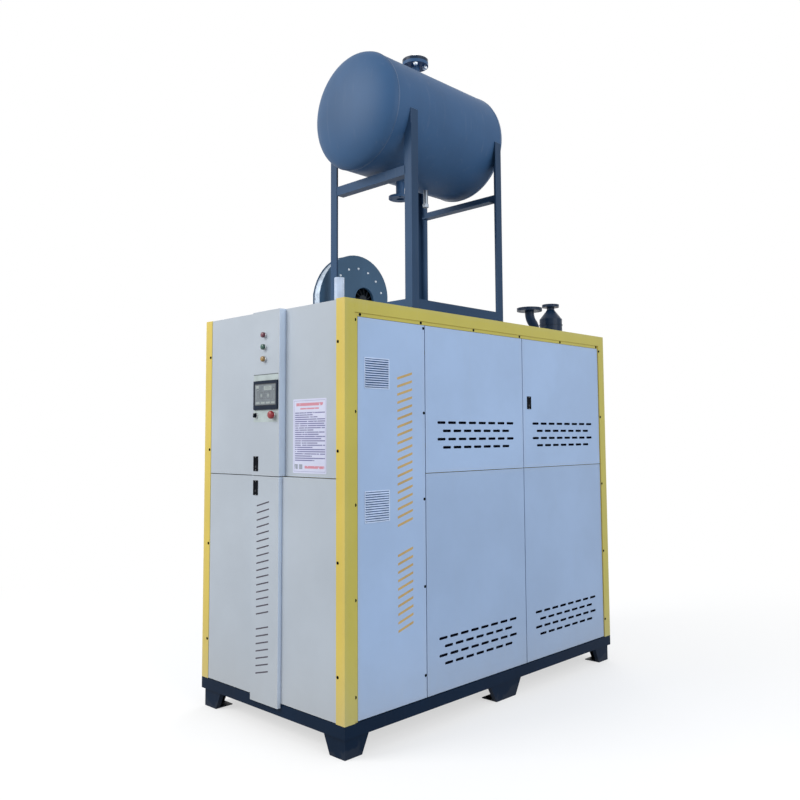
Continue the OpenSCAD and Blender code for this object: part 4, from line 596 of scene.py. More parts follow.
# Millimetres inside the corner: faces of the cabinet that carry the fine pieces, and the
# middles of the machines inside and on the roof.
BAND_Y, SIDE_X, LEFT_X, ROOF_Z, LOCK_X = -20, -6, -1169, 2100, -663
BLOWER_Y, BLOWER_Z = 772, 2260
OIL_X, PUMP_Z, RISER_Y, OUTLET_Y, SEPARATOR_Y = -300, 430, 1460, 1941, 2125
VESSEL_X, VESSEL_Z = -800, 1200


def at(x, y, z):
    """Place in the frame from millimetres inside the corner of control face and side."""
    return np.array([x / 1000 + 0.5875, y / 1000 - 1.145, z / 1000])


def round_places(count, radius, offset=0.0):
    """Places on a circle about Z, one for each equal step of the angle."""
    angle = (np.arange(count) + offset) * tau / count
    return np.stack([np.cos(angle) * radius, np.sin(angle) * radius, 0 * angle], -1)


def box_of(node):
    """Lowest and highest corner of a CAD node."""
    low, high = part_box(node)
    return tuple(low), tuple(high)


# -------------------------------------------------------------- paints on the frame

# Painted shade: a darker, greener copy of the yellow on the frame's faces that look along X.
YELLOW, YELLOW_PAINTED_SHADE = (0.700, 0.530, 0.085), (0.530, 0.460, 0.075)
# Painted skylight: a lighter, bluer copy of the pale on the doors' faces that look along X.
PALE, PALE_PAINTED_SKYLIGHT = (0.462, 0.515, 0.580), (0.640, 0.750, 0.910)
# The blue of the side and left panels is the pale paint in painted skylight shade: a bluer copy of
# the same paint.
SKY_SHADED_PALE = (0.370, 0.510, 0.750)
NAVY = (0.003, 0.014, 0.037)
TANK = (0.034, 0.094, 0.205)
STAND = (0.032, 0.076, 0.156)
DARK = (0.006, 0.021, 0.050)

finish = {
    "base_navy": paint("navy_enamel", NAVY, 0.42, dust=0.04, dust_top=0.05, streak=0.1,
                       peel=0.8, mottle=0.15, shine=0.07),
    "frame_yellow": paint("yellow_enamel", YELLOW, 0.33, side=YELLOW_PAINTED_SHADE,
                          box=box_of("cabinet_frame"), peel=0.8, streak=1.0),
    "panel_pale": paint("pale_powder_coat", PALE, 0.36),
    # This slot's colour is the pale paint in painted skylight shade.
    "panel_blue": paint("sky_shaded_powder_coat", SKY_SHADED_PALE, 0.36),
    "roof_grey": paint("grey_primer", (0.34, 0.38, 0.42), 0.45, dust=0.1),
    "tank_blue": paint("tank_enamel", TANK, 0.50, peel=1.6, wave=1.2, mottle=0.12,
                       streak=0.5, shine=0.28),
    "dark_pipe": paint("pipe_enamel", DARK, 0.34, peel=1.4, mottle=0.12, coat=0.05,
                       shine=0.18),
    "blower_blue": paint("blower_enamel", (0.050, 0.120, 0.208), 0.46, peel=1.0,
                         mottle=0.12, streak=0.3, shine=0.35),
    "bright_sheet": zinc_sheet("galvanised_sheet", (0.40, 0.47, 0.56)),
    "pump_blue": paint("machine_enamel", (0.035, 0.085, 0.230), 0.30, peel=1.5, coat=0.3),
    "steel": machined("bright_steel"),
    "black_plastic": moulded("black_moulding", (0.005, 0.009, 0.017), wear=0.05, shine=0.15),
    "black_lock": moulded("black_zinc_casting", (0.0015, 0.003, 0.006), 0.48, 0.8, 0.012,
                          shine=0.05),
    "red_cap": moulded("red_moulding", (0.30, 0.012, 0.020), 0.30, 0.3, 0.05, coat=0.25),
    # The grille blades are lighter than the panels round them: a painted highlight on the blades.
    "grille": moulded("grille_moulding_painted_highlight", (0.58, 0.69, 0.88), 0.46, 1.0, 0.06),
    "jacket": cladding("aluminium_cladding", (0.66, 0.68, 0.70)),
    "red_wheel": paint("red_enamel", (0.38, 0.022, 0.018), 0.32, peel=1.2, coat=0.3),
    "white_plate": paint("white_enamel", (0.66, 0.68, 0.69), 0.42, dust=0.1),
    "gear_grey": moulded("grey_device_moulding", (0.10, 0.11, 0.12), 0.5),
    "screen": screen_glass("display_glass", *box_of("display_screen"),
                           box_of("display_screen")[0][1]),
}
BAND_FACE = -1.165      # where the raised bands of the doors stand, in the frame
lamp_places = {}
for colour, tint in (("red", (0.130, 0.006, 0.032)), ("green", (0.002, 0.080, 0.055)),
                     ("amber", (0.330, 0.190, 0.040))):
    low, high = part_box("lamp_" + colour)
    lamp_places[colour] = np.array([(low.x + high.x) / 2, BAND_FACE, (low.z + high.z) / 2])
    finish[colour + "_lens"] = lens(colour + "_lens_moulding", tint, lamp_places[colour])

node_finish = {
    "left_side_panels": paint("sky_shaded_powder_coat_left", SKY_SHADED_PALE, 0.36, lining=(0, 1)),
    "rear_panels": paint("pale_powder_coat_rear", PALE, 0.36, lining=(1, -1)),
    "roof_panel": paint("pale_powder_coat_roof", shade(PALE, 0.92), 0.40, dust=0.0,
                        lining=(2, -1)),
    # The stand's faces that look along X take 0.72 of its colour: painted shade.
    "tank_stand": paint("stand_enamel_shaded_sides", STAND, 0.44, peel=1.4, mottle=0.12, shine=0.15,
                        side=shade(STAND, 0.72)),
    "conduit_riser": moulded("conduit_moulding", (0.50, 0.60, 0.78), 0.40, 0.5, 0.06),
    "tank_drain_plug": machined("drain_steel", (0.22, 0.25, 0.29), 0.36),
    "display_bezel": moulded("bezel_moulding", (0.006, 0.014, 0.032), 0.4, 0.5, 0.03,
                             shine=0.15),
    # The blower wheel is near black: its dark paint and painted shade inside the blower's eye.
    "blower_wheel": paint("wheel_enamel_painted_shade", (0.012, 0.018, 0.027), 0.55, dust=0.0, shine=0.3),
}
for node in ("front_upper_door", "front_lower_door", "front_upper_panel", "front_lower_panel"):
    node_finish[node] = paint("pale_powder_coat_" + node, PALE, 0.36, box=box_of(node),
                              side=PALE_PAINTED_SKYLIGHT, lining=(1, 1))
# The lower side panels take 0.91 of the side colour: painted shade, darker low down.
for node, tone in (("side_louvre_panel", 1), ("side_door_front", 1), ("side_door_rear", 1),
                   ("side_lower_panels", 0.91)):
    node_finish[node] = paint("sky_shaded_powder_coat_" + node, shade(SKY_SHADED_PALE, tone), 0.36,
                              box=box_of(node), lining=(0, -1))

slots = {part["node"]: part["material_slot"] for part in frame["record"]["subparts"]}
for name, node in frame["nodes"].items():
    material = node_finish.get(name) or finish[slots[name]]
    if node.data.materials:
        for k in range(len(node.data.materials)):
            node.data.materials[k] = material
    else:
        node.data.materials.append(material)

weld_steel = paint("painted_weld", shade(TANK, 0.92), 0.34, peel=2.5, mottle=0.2)
zinc_bolt = machined("zinc_plated_bolt", (0.78, 0.83, 0.90), 0.34, (1, 1, 1), 0.06)
dark_steel = machined("blackened_steel", (0.045, 0.048, 0.055), 0.40)
seal_rubber = rubber("seal_rubber")
gasket = rubber("flange_gasket", (0.10, 0.10, 0.095), 0.8)

# ---------------------------------------------------------------- expansion tank

TANK_R, SHELL_HALF, HEAD_DEPTH = 0.315, 0.4175, 0.106
TANK_X, TANK_Z = -317.5, 3188.0
tank_centre = at(TANK_X, 790, TANK_Z)
turn = np.linspace(0, pi / 2, 26)
head = np.stack([TANK_R * np.sin(turn), SHELL_HALF + HEAD_DEPTH * np.cos(turn)], -1)
shell = np.stack([np.full(11, TANK_R), np.linspace(-SHELL_HALF, SHELL_HALF, 13)[1:-1]], -1)
tank_profile = np.vstack([head * [1, -1], shell, head[::-1]])
tank_profile[0, 0] = tank_profile[-1, 0] = 0
piece("tank_body", put(lathe(tank_profile, 144), tank_centre, TO_REAR), "tank_blue",
      stands_for=("tank_shell", "tank_heads"), smooth=50)


def straight_bead(start, end, up, width=0.0034, count=None):
    """Weld bead along a straight joint, with a point every two millimetres or so, or with
    a set count of them."""
    start, end = np.array(start, float), np.array(end, float)
    count = count or max(8, int(np.linalg.norm(end - start) / 0.0022))
    run = start + np.linspace(0, 1, count)[:, None] * (end - start)
    return bead(run, up, width, False, 0.006)


def nozzle_weld(y, radius, way):
    """Closed curve where an upright pipe meets the lying shell: z is the root of the
    shell's radius squared less x squared, upwards or downwards by way."""
    x, dy, _ = round_places(64, radius + 0.001).T
    z = np.sqrt(TANK_R ** 2 - x ** 2) * way
    lean = round_places(64, 1.0) + [0, 0, way]
    return bead(at(TANK_X, y, TANK_Z) + np.stack([x, dy, z], -1), lean, 0.0045, True, 0.006)


out = round_places(300, 1.0)[:, [0, 2, 1]]
welds = [bead(tank_centre + out * TANK_R + [0, y, 0], out, 0.0042, True, 0.0062)
         for y in (-SHELL_HALF, SHELL_HALF)]
seam_up = np.array([cos(radians(152)), 0, sin(radians(152))])
seam = np.linspace(-0.413, 0.413, 180)[:, None] * [0, 1, 0] + tank_centre + seam_up * TANK_R
welds.append(bead(seam, seam_up, 0.0045, False, 0.007))
welds += [nozzle_weld(823, 0.024, 1), nozzle_weld(693, 0.024, -1), nozzle_weld(903, 0.013, -1)]
for side in (-1, 1):
    for y in (457, 1203):
        top = at(TANK_X + side * 315.6, y, 3140)
        welds.append(straight_bead(top, top - [0, 0, 0.075], (side, 0, 0), 0.0035, 40))
    for y0, y1 in ((458, 504), (1156, 1202)):
        x = TANK_X + side * 313.5
        welds.append(straight_bead(at(x, y0, 3145), at(x, y1, 3145), (side, 0, 0.6), 0.0035, 24))
piece("tank_welds", joined(*welds), "tank_blue", material=weld_steel)

# ----------------------------------------------------------- bolts and screws


def hexagon_head(across_flats, height, washer):
    """Bolt head on a washer: a turned disc, then a six-sided prism drawn in at its top."""
    r = across_flats / 2
    disc = lathe([(0, 0), (washer, 0), (washer, 0.0012), (r * 0.9, 0.0014), (0, 0.0014)], 20)
    levels = ((r * 1.12, 0.0012), (r * 1.155, 0.0018), (r * 1.155, height * 0.86),
              (r * 0.98, height))
    rows = [round_places(6, q) + [0, 0, z] for q, z in levels]
    return joined(disc, outward(grid(np.array(rows), caps=(True, True))))


def stud_end(radius, length):
    """Threaded end: a rod with rings of alternating radius, one pair for each thread."""
    count = max(3, int(length / 0.0016))
    z = np.linspace(0, length, 2 * count + 1)
    r = np.where(np.arange(2 * count + 1) % 2 == 0, radius, radius * 0.9)
    tip = [(radius * 0.7, length + 0.0008), (0, length + 0.0008)]
    return lathe(np.vstack([[(0, 0)], np.stack([r, z], -1), tip]), 12)


THREAD_END = 0.0048     # a bolt's end stands out of its nut by this


def flange_set(centre, turn, circle_r, bolt_r, grip, count):
    """Bolts of a flanged joint: heads on one side, nuts and thread ends on the other."""
    head = hexagon_head(3.0 * bolt_r, 1.25 * bolt_r, 1.9 * bolt_r)
    nut = joined(hexagon_head(3.0 * bolt_r, 1.5 * bolt_r, 1.9 * bolt_r),
                 stud_end(bolt_r * 0.95, 1.5 * bolt_r + THREAD_END))
    where = round_places(count, circle_r, 0.5)
    return put(joined(put(head, where + [0, 0, grip]), put(nut, where, DOWN)), centre, turn)


def pan_head():
    """Pan head screw: a low dome, dished in its middle for the driver."""
    return lathe([(0, 0.0010), (0.0020, 0.0013), (0.0025, 0.0029), (0.0045, 0.0030),
                  (0.0064, 0.0022), (0.0076, 0.0008), (0.0076, -0.0002), (0, -0.0002)], 14)


# Radius of the bolt circle and of the bolt, grip of both flanges, number of bolts.
COVER_BOLTS, DN50_BOLTS = (0.055, 0.008, 0.036, 4), (0.0625, 0.008, 0.036, 4)
HEATER_BOLTS = (0.217, 0.009, 0.050, 16)
small_bolt = hexagon_head(0.0095, 0.0050, 0.0066)
# Ten of the blower's bolts: steps of a circle whose middle is ahead of its shaft and lower.
eye_bolts = round_places(16, 0.198)[:10] + [-0.048, -0.018, 0]
piece("joint_bolts",
      joined(flange_set(at(TANK_X, 823, 3585), None, *COVER_BOLTS),
             put(small_bolt, at(-700, BLOWER_Y, BLOWER_Z) + eye_bolts[:, [2, 0, 1]], TO_SIDE)),
      "steel", material=zinc_bolt, stands_for=("flange_bolts",), smooth=25)

front_screws = [at(x, 0, 1895 - 511 * i) for i in range(4) for x in (-48, -1127)]
side_screws, left_screws = [], []
for z in 265.5 + 434 * np.arange(5):
    for y, inset in ((71, 6), (2233, 0), (540, 6)):
        side_screws.append(at(-inset, y, z))
        left_screws.append(at(-1175 + inset, y, z))
for y in 101 + np.arange(6) * 421.4:
    side_screws.append(at(SIDE_X, y, 2028))
    left_screws.append(at(LEFT_X, y, 2028))
piece("pan_head_screws",
      joined(put(pan_head(), front_screws, TO_FRONT), put(pan_head(), side_screws, TO_SIDE),
             put(pan_head(), left_screws, TO_LEFT)), "black_lock", stands_for=("panel_screws",))

# ------------------------------------------------------------ switches and display

collar = lathe([(0.0123, 0.0), (0.0147, 0.0), (0.0147, 0.0042), (0.0138, 0.0060),
                (0.0128, 0.0060), (0.0123, 0.0052), (0.0123, 0.0)], 40)
switches = [*lamp_places.values(), at(LOCK_X, BAND_Y, 1562), at(-514, BAND_Y, 1562)]
piece("polished_collars", put(collar, switches, TO_FRONT), "steel", "upper_front_door",
      stands_for=("switch_collars",), smooth=30)

lens_shape = lathe([(0, -0.044), (0.0110, -0.044), (0.0110, 0.0), (0.0120, 0.0),
                    (0.0120, 0.0061), (0.0142, 0.0063), (0.0146, 0.0072), (0.0146, 0.0150),
                    (0.0138, 0.0172), (0.0116, 0.0190), (0.0086, 0.0200), (0.0044, 0.0206),
                    (0, 0.0207)], 40)
for colour, place in lamp_places.items():
    piece(f"lamp_{colour}_lens", put(lens_shape, place, TO_FRONT), f"{colour}_lens",
          "upper_front_door", stands_for=(f"lamp_{colour}",), smooth=50)

knob_base = lathe([(0, -0.044), (0.0110, -0.044), (0.0110, 0.0003), (0.0120, 0.0003),
                   (0.0120, 0.0066), (0.0110, 0.0080), (0, 0.0080)], 36)
grip = put(slab(0.0070, 0.0220, 0.0120, 0.0030, 0.0012), (0, 0, 0.0078))
piece("selector_grip", put(joined(knob_base, grip), switches[3], TO_FRONT), "black_plastic",
      "selector", stands_for=("selector_knob",), smooth=40)
pointer = put(slab(0.0016, 0.0085, 0.0005, 0.0006, 0.0001, 3), (0, 0.0055, 0.01965))
piece("selector_mark", put(pointer, switches[3], TO_FRONT), "white_plate", "selector")

cap = lathe([(0, -0.044), (0.0110, -0.044), (0.0110, 0.0105), (0.0150, 0.0108),
             (0.0186, 0.0112), (0.0198, 0.0130), (0.0200, 0.0170), (0.0197, 0.0225),
             (0.0185, 0.0258), (0.0160, 0.0284), (0.0120, 0.0301), (0.0065, 0.0309),
             (0, 0.0310)], 48)
piece("stop_cap", put(cap, switches[4], TO_FRONT), "red_cap", "stop",
      stands_for=("stop_button",), smooth=50)

# Backing sheet of the controls, with its turned-down top edge.
BACKING_X, BACKING_W, BACKING_Z, BACKING_H = 0.0055, 0.204, 1.64875, 0.2425
backing = slab(BACKING_W, BACKING_H, 0.0010, 0.002, 0.0003)
backing_paint = moulded("backing_sheet", (0.45, 0.52, 0.52), 0.36, 0.3, 0.04)
piece("switch_backing", put(backing, (BACKING_X, BAND_FACE, BACKING_Z), TO_FRONT), "panel_pale",
      "upper_front_door", backing_paint)
top_edge = slab(BACKING_W + 0.002, 0.0022, 0.0024, 0.0008, 0.0003, 3)
piece("backing_top_edge",
      put(top_edge, (BACKING_X, BAND_FACE, BACKING_Z + BACKING_H / 2), TO_FRONT), "black_plastic",
      "upper_front_door")

# --------------------------------------------------------------------- locks

rivet_dot = lathe([(0, -0.0002), (0.0014, -0.0002), (0.0014, 0.0003), (0.0009, 0.0007),
                   (0, 0.0008)], 12)
barrel = lathe([(0, 0.0), (0.0062, 0.0), (0.0062, 0.0012), (0.0054, 0.0018), (0.0024, 0.0018),
                (0.0021, 0.0008), (0, 0.0008)], 24)
# Two rivets on the rim of each lock and a key barrel on its lever.
rivets = put(rivet_dot, [(0, 0.0335, 0.0020), (0, -0.0335, 0.0020)])
for name, door, lever, place, turn in (
        ("front_upper_lock", "upper_front_door", "upper_front_lever",
         at(LOCK_X, BAND_Y, 1315.5), TO_FRONT),
        ("front_lower_lock", "lower_front_door", "lower_front_lever",
         at(LOCK_X, BAND_Y, 1193.5), TO_FRONT),
        ("side_lock", "rear_side_door", "side_lever", at(SIDE_X, 1449, 1642), SIDE_UP)):
    piece(name + "_rivets", put(rivets, place, turn), "steel", door)
    piece(name + "_barrel", put(put(barrel, (0, -0.016, 0.0008)), place, turn), "steel", lever,
          dark_steel)

# ------------------------------------------------- instruction sheet and stripes

SHEET_W, SHEET_H = 0.255, 0.362
centre, half = np.array([0.310, -1.127, 1.455]), np.array([SHEET_W / 2, 0, SHEET_H / 2])
piece("instruction_sheet",
      put(slab(SHEET_W, SHEET_H, 0.0007, 0.006, 0.0002), centre, TO_FRONT), "white_plate",
      material=printed_card("laminated_sheet", centre - half, centre + half))


def foil(name, colour):
    """Cut sticking foil: even colour, a little lifted and scratched, softly glossy."""
    net = Net(name, IOR=1.48, Coat_Weight=0.2, Coat_Roughness=0.2)
    scratch = net.noise(50.0, 4.0, 0.7, stretch=(1, 1, 0.1))
    cloud = net.noise(8.0, 3.0, 0.6)
    tone = net.mix(cloud.ramp(0.3, 0.7), shade(colour, 0.9), shade(colour, 1.12))
    tone = net.mix(scratch.ramp(0.62, 0.72) * 0.25, tone, DUST)
    net.set(Base_Color=tone, Roughness=0.32 + cloud * 0.1, Normal=net.bump(scratch, 0.0002, 0.2))
    return net.material


def slanted_bars(width, height, rise, spans, pitch):
    """Column of sloping bars: one rounded plate, sheared so that it climbs by rise over
    its width, set at even steps through each span of heights in metres."""
    verts, faces = slab(width, height, 0.0004, 0.003, 0.0001, 4)
    verts[:, 1] += verts[:, 0] * rise / width
    levels = np.concatenate([np.arange(z0, z1, pitch) for z0, z1 in spans])
    return put((verts, faces), np.outer(levels, (0, 1, 0)))


bars = slanted_bars(0.106, 0.012, 0.030, ((0.525, 0.925), (1.030, 1.770)), 0.040)
piece("amber_bars", put(bars, at(SIDE_X, 402, 0), SIDE_UP), "frame_yellow",
      material=foil("amber_foil", (0.50, 0.33, 0.11)))
bars = slanted_bars(0.104, 0.007, 0.026, ((0.285, 0.505), (0.575, 1.130)), 0.036)
piece("dark_bars", put(bars, at(-600, BAND_Y, 0), TO_FRONT), "black_plastic",
      "lower_front_door", foil("black_foil", (0.030, 0.022, 0.045)))

# ------------------------------------------------------------- louvre grilles

GRILLE_Y, GRILLE_W, GRILLE_H, BLADES = 211, 0.166, 0.150, 12
grille_rim = frame_ring(GRILLE_W, GRILLE_H, 0.0055, 0.0028, 0.003)
blade = prism([(0.0040, 0.0002), (0.0034, 0.0012), (-0.0018, 0.0053), (-0.0026, 0.0054),
               (-0.0025, 0.0044), (0.0028, -0.0004)], GRILLE_W - 0.012)
# The section's ways become up and out, and its length runs across the grille.
blade = put(blade, (-(GRILLE_W - 0.012) / 2, 0, 0), np.array([(0, 0, 1), (1, 0, 0), (0, 1, 0)]))
blade_levels = (np.arange(BLADES) - 5.55) * (GRILLE_H - 0.014) / BLADES
grille = joined(grille_rim, put(blade, np.outer(blade_levels, (0, 1, 0))))
back = slab(GRILLE_W - 0.008, GRILLE_H - 0.008, 0.0006, 0.002, 0.0001, 3)
low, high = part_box("louvre_grilles")
grille_levels = (low.z * 1000 + 75, high.z * 1000 - 75)


def on_both_sides(shape, y, levels):
    """Copies of a shape at one distance from the front, on the long side and the left."""
    return joined(put(shape, [at(SIDE_X, y, z) for z in levels], SIDE_UP),
                  put(shape, [at(LEFT_X, y, z) for z in levels], LEFT_UP))


piece("grille_frames", on_both_sides(grille, GRILLE_Y, grille_levels), "grille",
      stands_for=("louvre_grilles",), smooth=30)
piece("grille_gauze", on_both_sides(back, GRILLE_Y, grille_levels), "black_plastic",
      material=moulded("dust_gauze", (0.050, 0.110, 0.260), 0.8, 1.0, 0.0, shine=0.05))

# Dust mesh behind the rows of slots, near black: painted shade that makes the slots read as dark
# holes.
shade_mesh_finish = moulded("wire_mesh_painted_shade", (0.0015, 0.0018, 0.0060), 0.85, 1.0, 0.0, shine=0.02)
shade_mesh_sheet = slab(0.690, 0.168, 0.0005, 0.004, 0.0001, 3)
SLOTS_Y, SLOTS_UPPER, SLOTS_LOWER = (968.5, 1806), 1455.5, 358.5
for name, body, turn, x, spots in (
        ("front_door_mesh", "front_side_door", SIDE_UP, -12, ((SLOTS_Y[0], SLOTS_UPPER),)),
        ("rear_door_mesh", "rear_side_door", SIDE_UP, -12, ((SLOTS_Y[1], SLOTS_UPPER),)),
        ("lower_mesh", "cabinet", SIDE_UP, -12, [(y, SLOTS_LOWER) for y in SLOTS_Y]),
        ("left_mesh", "cabinet", LEFT_UP, -1163,
         [(y, z) for z in (SLOTS_UPPER, SLOTS_LOWER) for y in SLOTS_Y])):
    piece(name, put(shade_mesh_sheet, [at(x, y, z) for y, z in spots], turn), "black_plastic", body,
          shade_mesh_finish)

# ------------------------------------------------------- blower, roof and stand

flat_ring = lathe([(0.0705, -0.0120), (0.0722, -0.0120), (0.0738, -0.0010), (0.0775, 0.0004),
                   (0.0830, 0.0005), (0.0835, 0.0015), (0.0785, 0.0024), (0.0745, 0.0018),
                   (0.0722, -0.0020), (0.0705, -0.0120)], 56)
piece("inlet_ring", put(flat_ring, at(-700, BLOWER_Y, BLOWER_Z), TO_SIDE), "blower_blue",
      smooth=50)
base_ring = frame_ring(0.110, 0.262, 0.023, 0.004, 0.002)
piece("blower_base_frame", put(base_ring, at(-730, 537, ROOF_Z)), "blower_blue")
piece("blower_base_bolts",
      put(small_bolt, [at(x, y, ROOF_Z + 4) for x in (-686, -774) for y in (430, 500, 570, 640)]),
      "steel", material=zinc_bolt, smooth=25)

sleeve = lathe([(0.0244, 0.0), (0.0400, 0.0), (0.0400, 0.0030), (0.0330, 0.0046),
                (0.0300, 0.0100), (0.0262, 0.0112), (0.0244, 0.0105), (0.0244, 0.0)], 36)
piece("conduit_bushing", put(sleeve, at(-144, 92, ROOF_Z)), "black_plastic",
      material=seal_rubber, smooth=50)


def roof_collar(inner, outer, place):
    """Flat cover ring round a pipe, with a raised lip against the pipe, and its screws."""
    ring = lathe([(inner, 0.0), (outer, 0.0), (outer, 0.0012), (outer - 0.0008, 0.0020),
                  (inner + 0.008, 0.0024), (inner + 0.0035, 0.0060), (inner, 0.0064),
                  (inner, 0.0)], 48)
    around = round_places(6, outer - 0.007, 0.5) + [0, 0, 0.0021] + place
    return put(ring, place), put(pan_head(), around, np.eye(3) * 0.6)


low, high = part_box("separator")
separator_r = (high.x - low.x) / 2 - 0.003      # its weld bead stands out by 3 mm
collars, collar_screws = zip(
    roof_collar(0.0304, 0.068, at(OIL_X, OUTLET_Y, ROOF_Z)),
    roof_collar(separator_r + 0.0004, separator_r + 0.026, at(OIL_X, SEPARATOR_Y, ROOF_Z)))
piece("roof_collars", joined(*collars), "roof_grey", material=node_finish["roof_panel"], smooth=40)
piece("roof_collar_screws", joined(*collar_screws), "steel")
roof_screws = [at(x, y, ROOF_Z) for x in (-1098, -77) for y in np.linspace(80, 2210, 9)]
roof_screws += [at(x, y, ROOF_Z) for y in (52, 2238) for x in (-900, -700, -500, -300)]
piece("roof_screws", put(pan_head(), roof_screws), "black_lock")

stand_welds = []
for x0, x1, out in ((-635, -585, -1), (-50, 0, 1)):
    for y0, y1, way in ((455, 505, -1), (1155, 1205, 1)):
        outer_x, inner_x = (x0, x1) if out < 0 else (x1, x0)
        outer_y = y0 if way < 0 else y1
        stand_welds += [
            straight_bead(at(outer_x, y0 + 2, 2105), at(outer_x, y1 - 2, 2105), (out, 0, 1)),
            straight_bead(at(x0 + 2, outer_y, 2105), at(x1 - 2, outer_y, 2105), (0, way, 1)),
            straight_bead(at(inner_x, outer_y, 2802), at(inner_x, outer_y, 2848), (-out, way, 0))]
piece("stand_welds", joined(*stand_welds), "tank_blue", material=node_finish["tank_stand"])
foot_welds = []
for y0, y1, length in ((14, 164, 150), (2126, 2276, 150), (1059.5, 1340.5, 105)):
    for x, way in ((-14, 1), (-1161, -1)):
        foot_welds.append(straight_bead(at(x, y0 + 3, 94), at(x, y1 - 3, 94),
                                        (way, 0, -1), 0.0040))
        if y1 - y0 < 200:
            face_y, ahead = (y0, -1) if y0 < 1000 else (y1, 1)
            x0, x1 = sorted((x, x - way * length))
            foot_welds.append(straight_bead(at(x0 + 3, face_y, 94), at(x1 - 3, face_y, 94),
                                            (0, ahead, -1), 0.0040))
piece("foot_welds", joined(*foot_welds), "base_navy")


def motor_trim(radius, start, length, angles, height):
    """Cooling fins, one tapered bar along the shaft copied round it, with a rounded collar
    at each end of the body, along Z from z = 0."""
    root, tip = 0.0013, 0.000728      # half the thickness of a fin at each end
    bar = prism([(radius - 0.002, -root), (radius + height, -tip),
                 (radius + height, tip), (radius - 0.002, root)], length)
    ring = lathe([(radius - 0.002, 0), (radius + height * 0.9, 0), (radius + height, 0.001),
                  (radius + height, 0.013), (radius + height * 0.8, 0.0145),
                  (radius - 0.002, 0.0145), (radius - 0.002, 0)], 64)
    return joined(put(spun(bar, angles), (0, 0, start)),
                  put(ring, [(0, 0, start - 0.014), (0, 0, start + length)]))


def motor_cowl(radii, tube, lift, sides, bar, reach, spokes):
    """Guard of a motor's fan: wire rings on spokes that run outwards from its middle."""
    rings = [put(torus(r, tube, sides, 6), (0, 0, lift)) for r in radii]
    return joined(*rings, spun(put(slab(*bar, 0.001, 0.0003, 3), (reach, 0, 0)),
                               np.arange(spokes) * 360 / spokes))


angles = np.arange(-62, 243, 9)
angles = angles[abs(angles) > 28]
piece("blower_motor_fins",
      put(motor_trim(0.075, 0.035, 0.130, angles, 0.004), at(-764, BLOWER_Y, BLOWER_Z), TO_LEFT),
      "blower_blue", smooth=30)
piece("blower_motor_cowl",
      put(motor_cowl((0.020, 0.034, 0.048, 0.062), 0.0014, 0.0008, 36, (0.050, 0.004, 0.0022),
                     0.042, 6), at(-974, BLOWER_Y, BLOWER_Z), TO_LEFT), "black_plastic")
box = joined(slab(0.078, 0.062, 0.030, 0.006, 0.001),
             put(slab(0.082, 0.066, 0.004, 0.007, 0.001), (0, 0, 0.030)))
piece("blower_motor_box", put(box, at(-880, BLOWER_Y, BLOWER_Z + 73)), "blower_blue", smooth=30)

# ------------------------------------------------------------ pump, pipes, vessel

angles = [*np.arange(-38, 60, 7.5), *np.arange(122, 220, 7.5)]
piece("pump_motor_fins",
      put(motor_trim(0.120, 0.040, 0.290, angles, 0.007), at(OIL_X, 725, PUMP_Z), TO_REAR),
      "pump_blue", smooth=30)
piece("pump_motor_cowl",
      put(motor_cowl((0.030, 0.050, 0.070, 0.090), 0.0018, 0.001, 44, (0.078, 0.005, 0.0026),
                     0.061, 8), at(OIL_X, 695, PUMP_Z), TO_FRONT), "black_plastic")
oil_bolts = [flange_set(at(OIL_X, RISER_Y, z), None, *DN50_BOLTS) for z in (642, 802, 1002)]
oil_bolts += [flange_set(at(OIL_X, 1582, PUMP_Z), TO_REAR, *DN50_BOLTS),
              flange_set(at(VESSEL_X, 735, VESSEL_Z), TO_REAR, *HEATER_BOLTS)]
piece("oil_joint_bolts", joined(*oil_bolts), "steel", material=zinc_bolt, smooth=25)
washer = lathe([(0.028, 0), (0.0600, 0), (0.0600, 0.0022), (0.028, 0.0022), (0.028, 0)], 40)
piece("pipe_gaskets", put(washer, [at(OIL_X, RISER_Y, z - 1.1) for z in (660, 820, 1020)]),
      "black_plastic", material=gasket)

JACKET_R, BANDS_Y = 0.2402, (850, 1140, 1430, 1720, 2010)
band = lathe([(JACKET_R, 0.0), (0.2414, 0.0), (0.2418, 0.0006), (0.2418, 0.0194),
              (0.2414, 0.020), (JACKET_R, 0.020), (JACKET_R, 0.0)], 96)
buckle = put(slab(0.034, 0.024, 0.0050, 0.002, 0.0008, 3), (0, 0, JACKET_R + 0.001))
piece("jacket_bands",
      joined(put(band, [at(VESSEL_X, y, VESSEL_Z) for y in BANDS_Y], TO_REAR),
             put(buckle, [at(VESSEL_X, y + 10, VESSEL_Z) for y in BANDS_Y], turned("Y", 52))),
      "steel", smooth=30)
seam_out = np.array([cos(radians(28)), 0, sin(radians(28))])
axis = at(VESSEL_X, 0, VESSEL_Z)
backwards = np.array([0, 0.001, 0])
lap = along(np.outer(np.linspace(815, 2060, 120), backwards) + axis + seam_out * 0.2404,
            circle(0.010, 8, 0.09), seam_out)
rivet = lathe([(0, 0), (0.0034, 0), (0.0030, 0.0012), (0.0016, 0.0019), (0, 0.0021)], 10)
rivets = put(rivet, axis + seam_out * 0.2412 + np.outer(np.linspace(830, 2045, 34), backwards),
             turned("Y", 62))
piece("jacket_lap", joined(lap, rivets), "jacket")

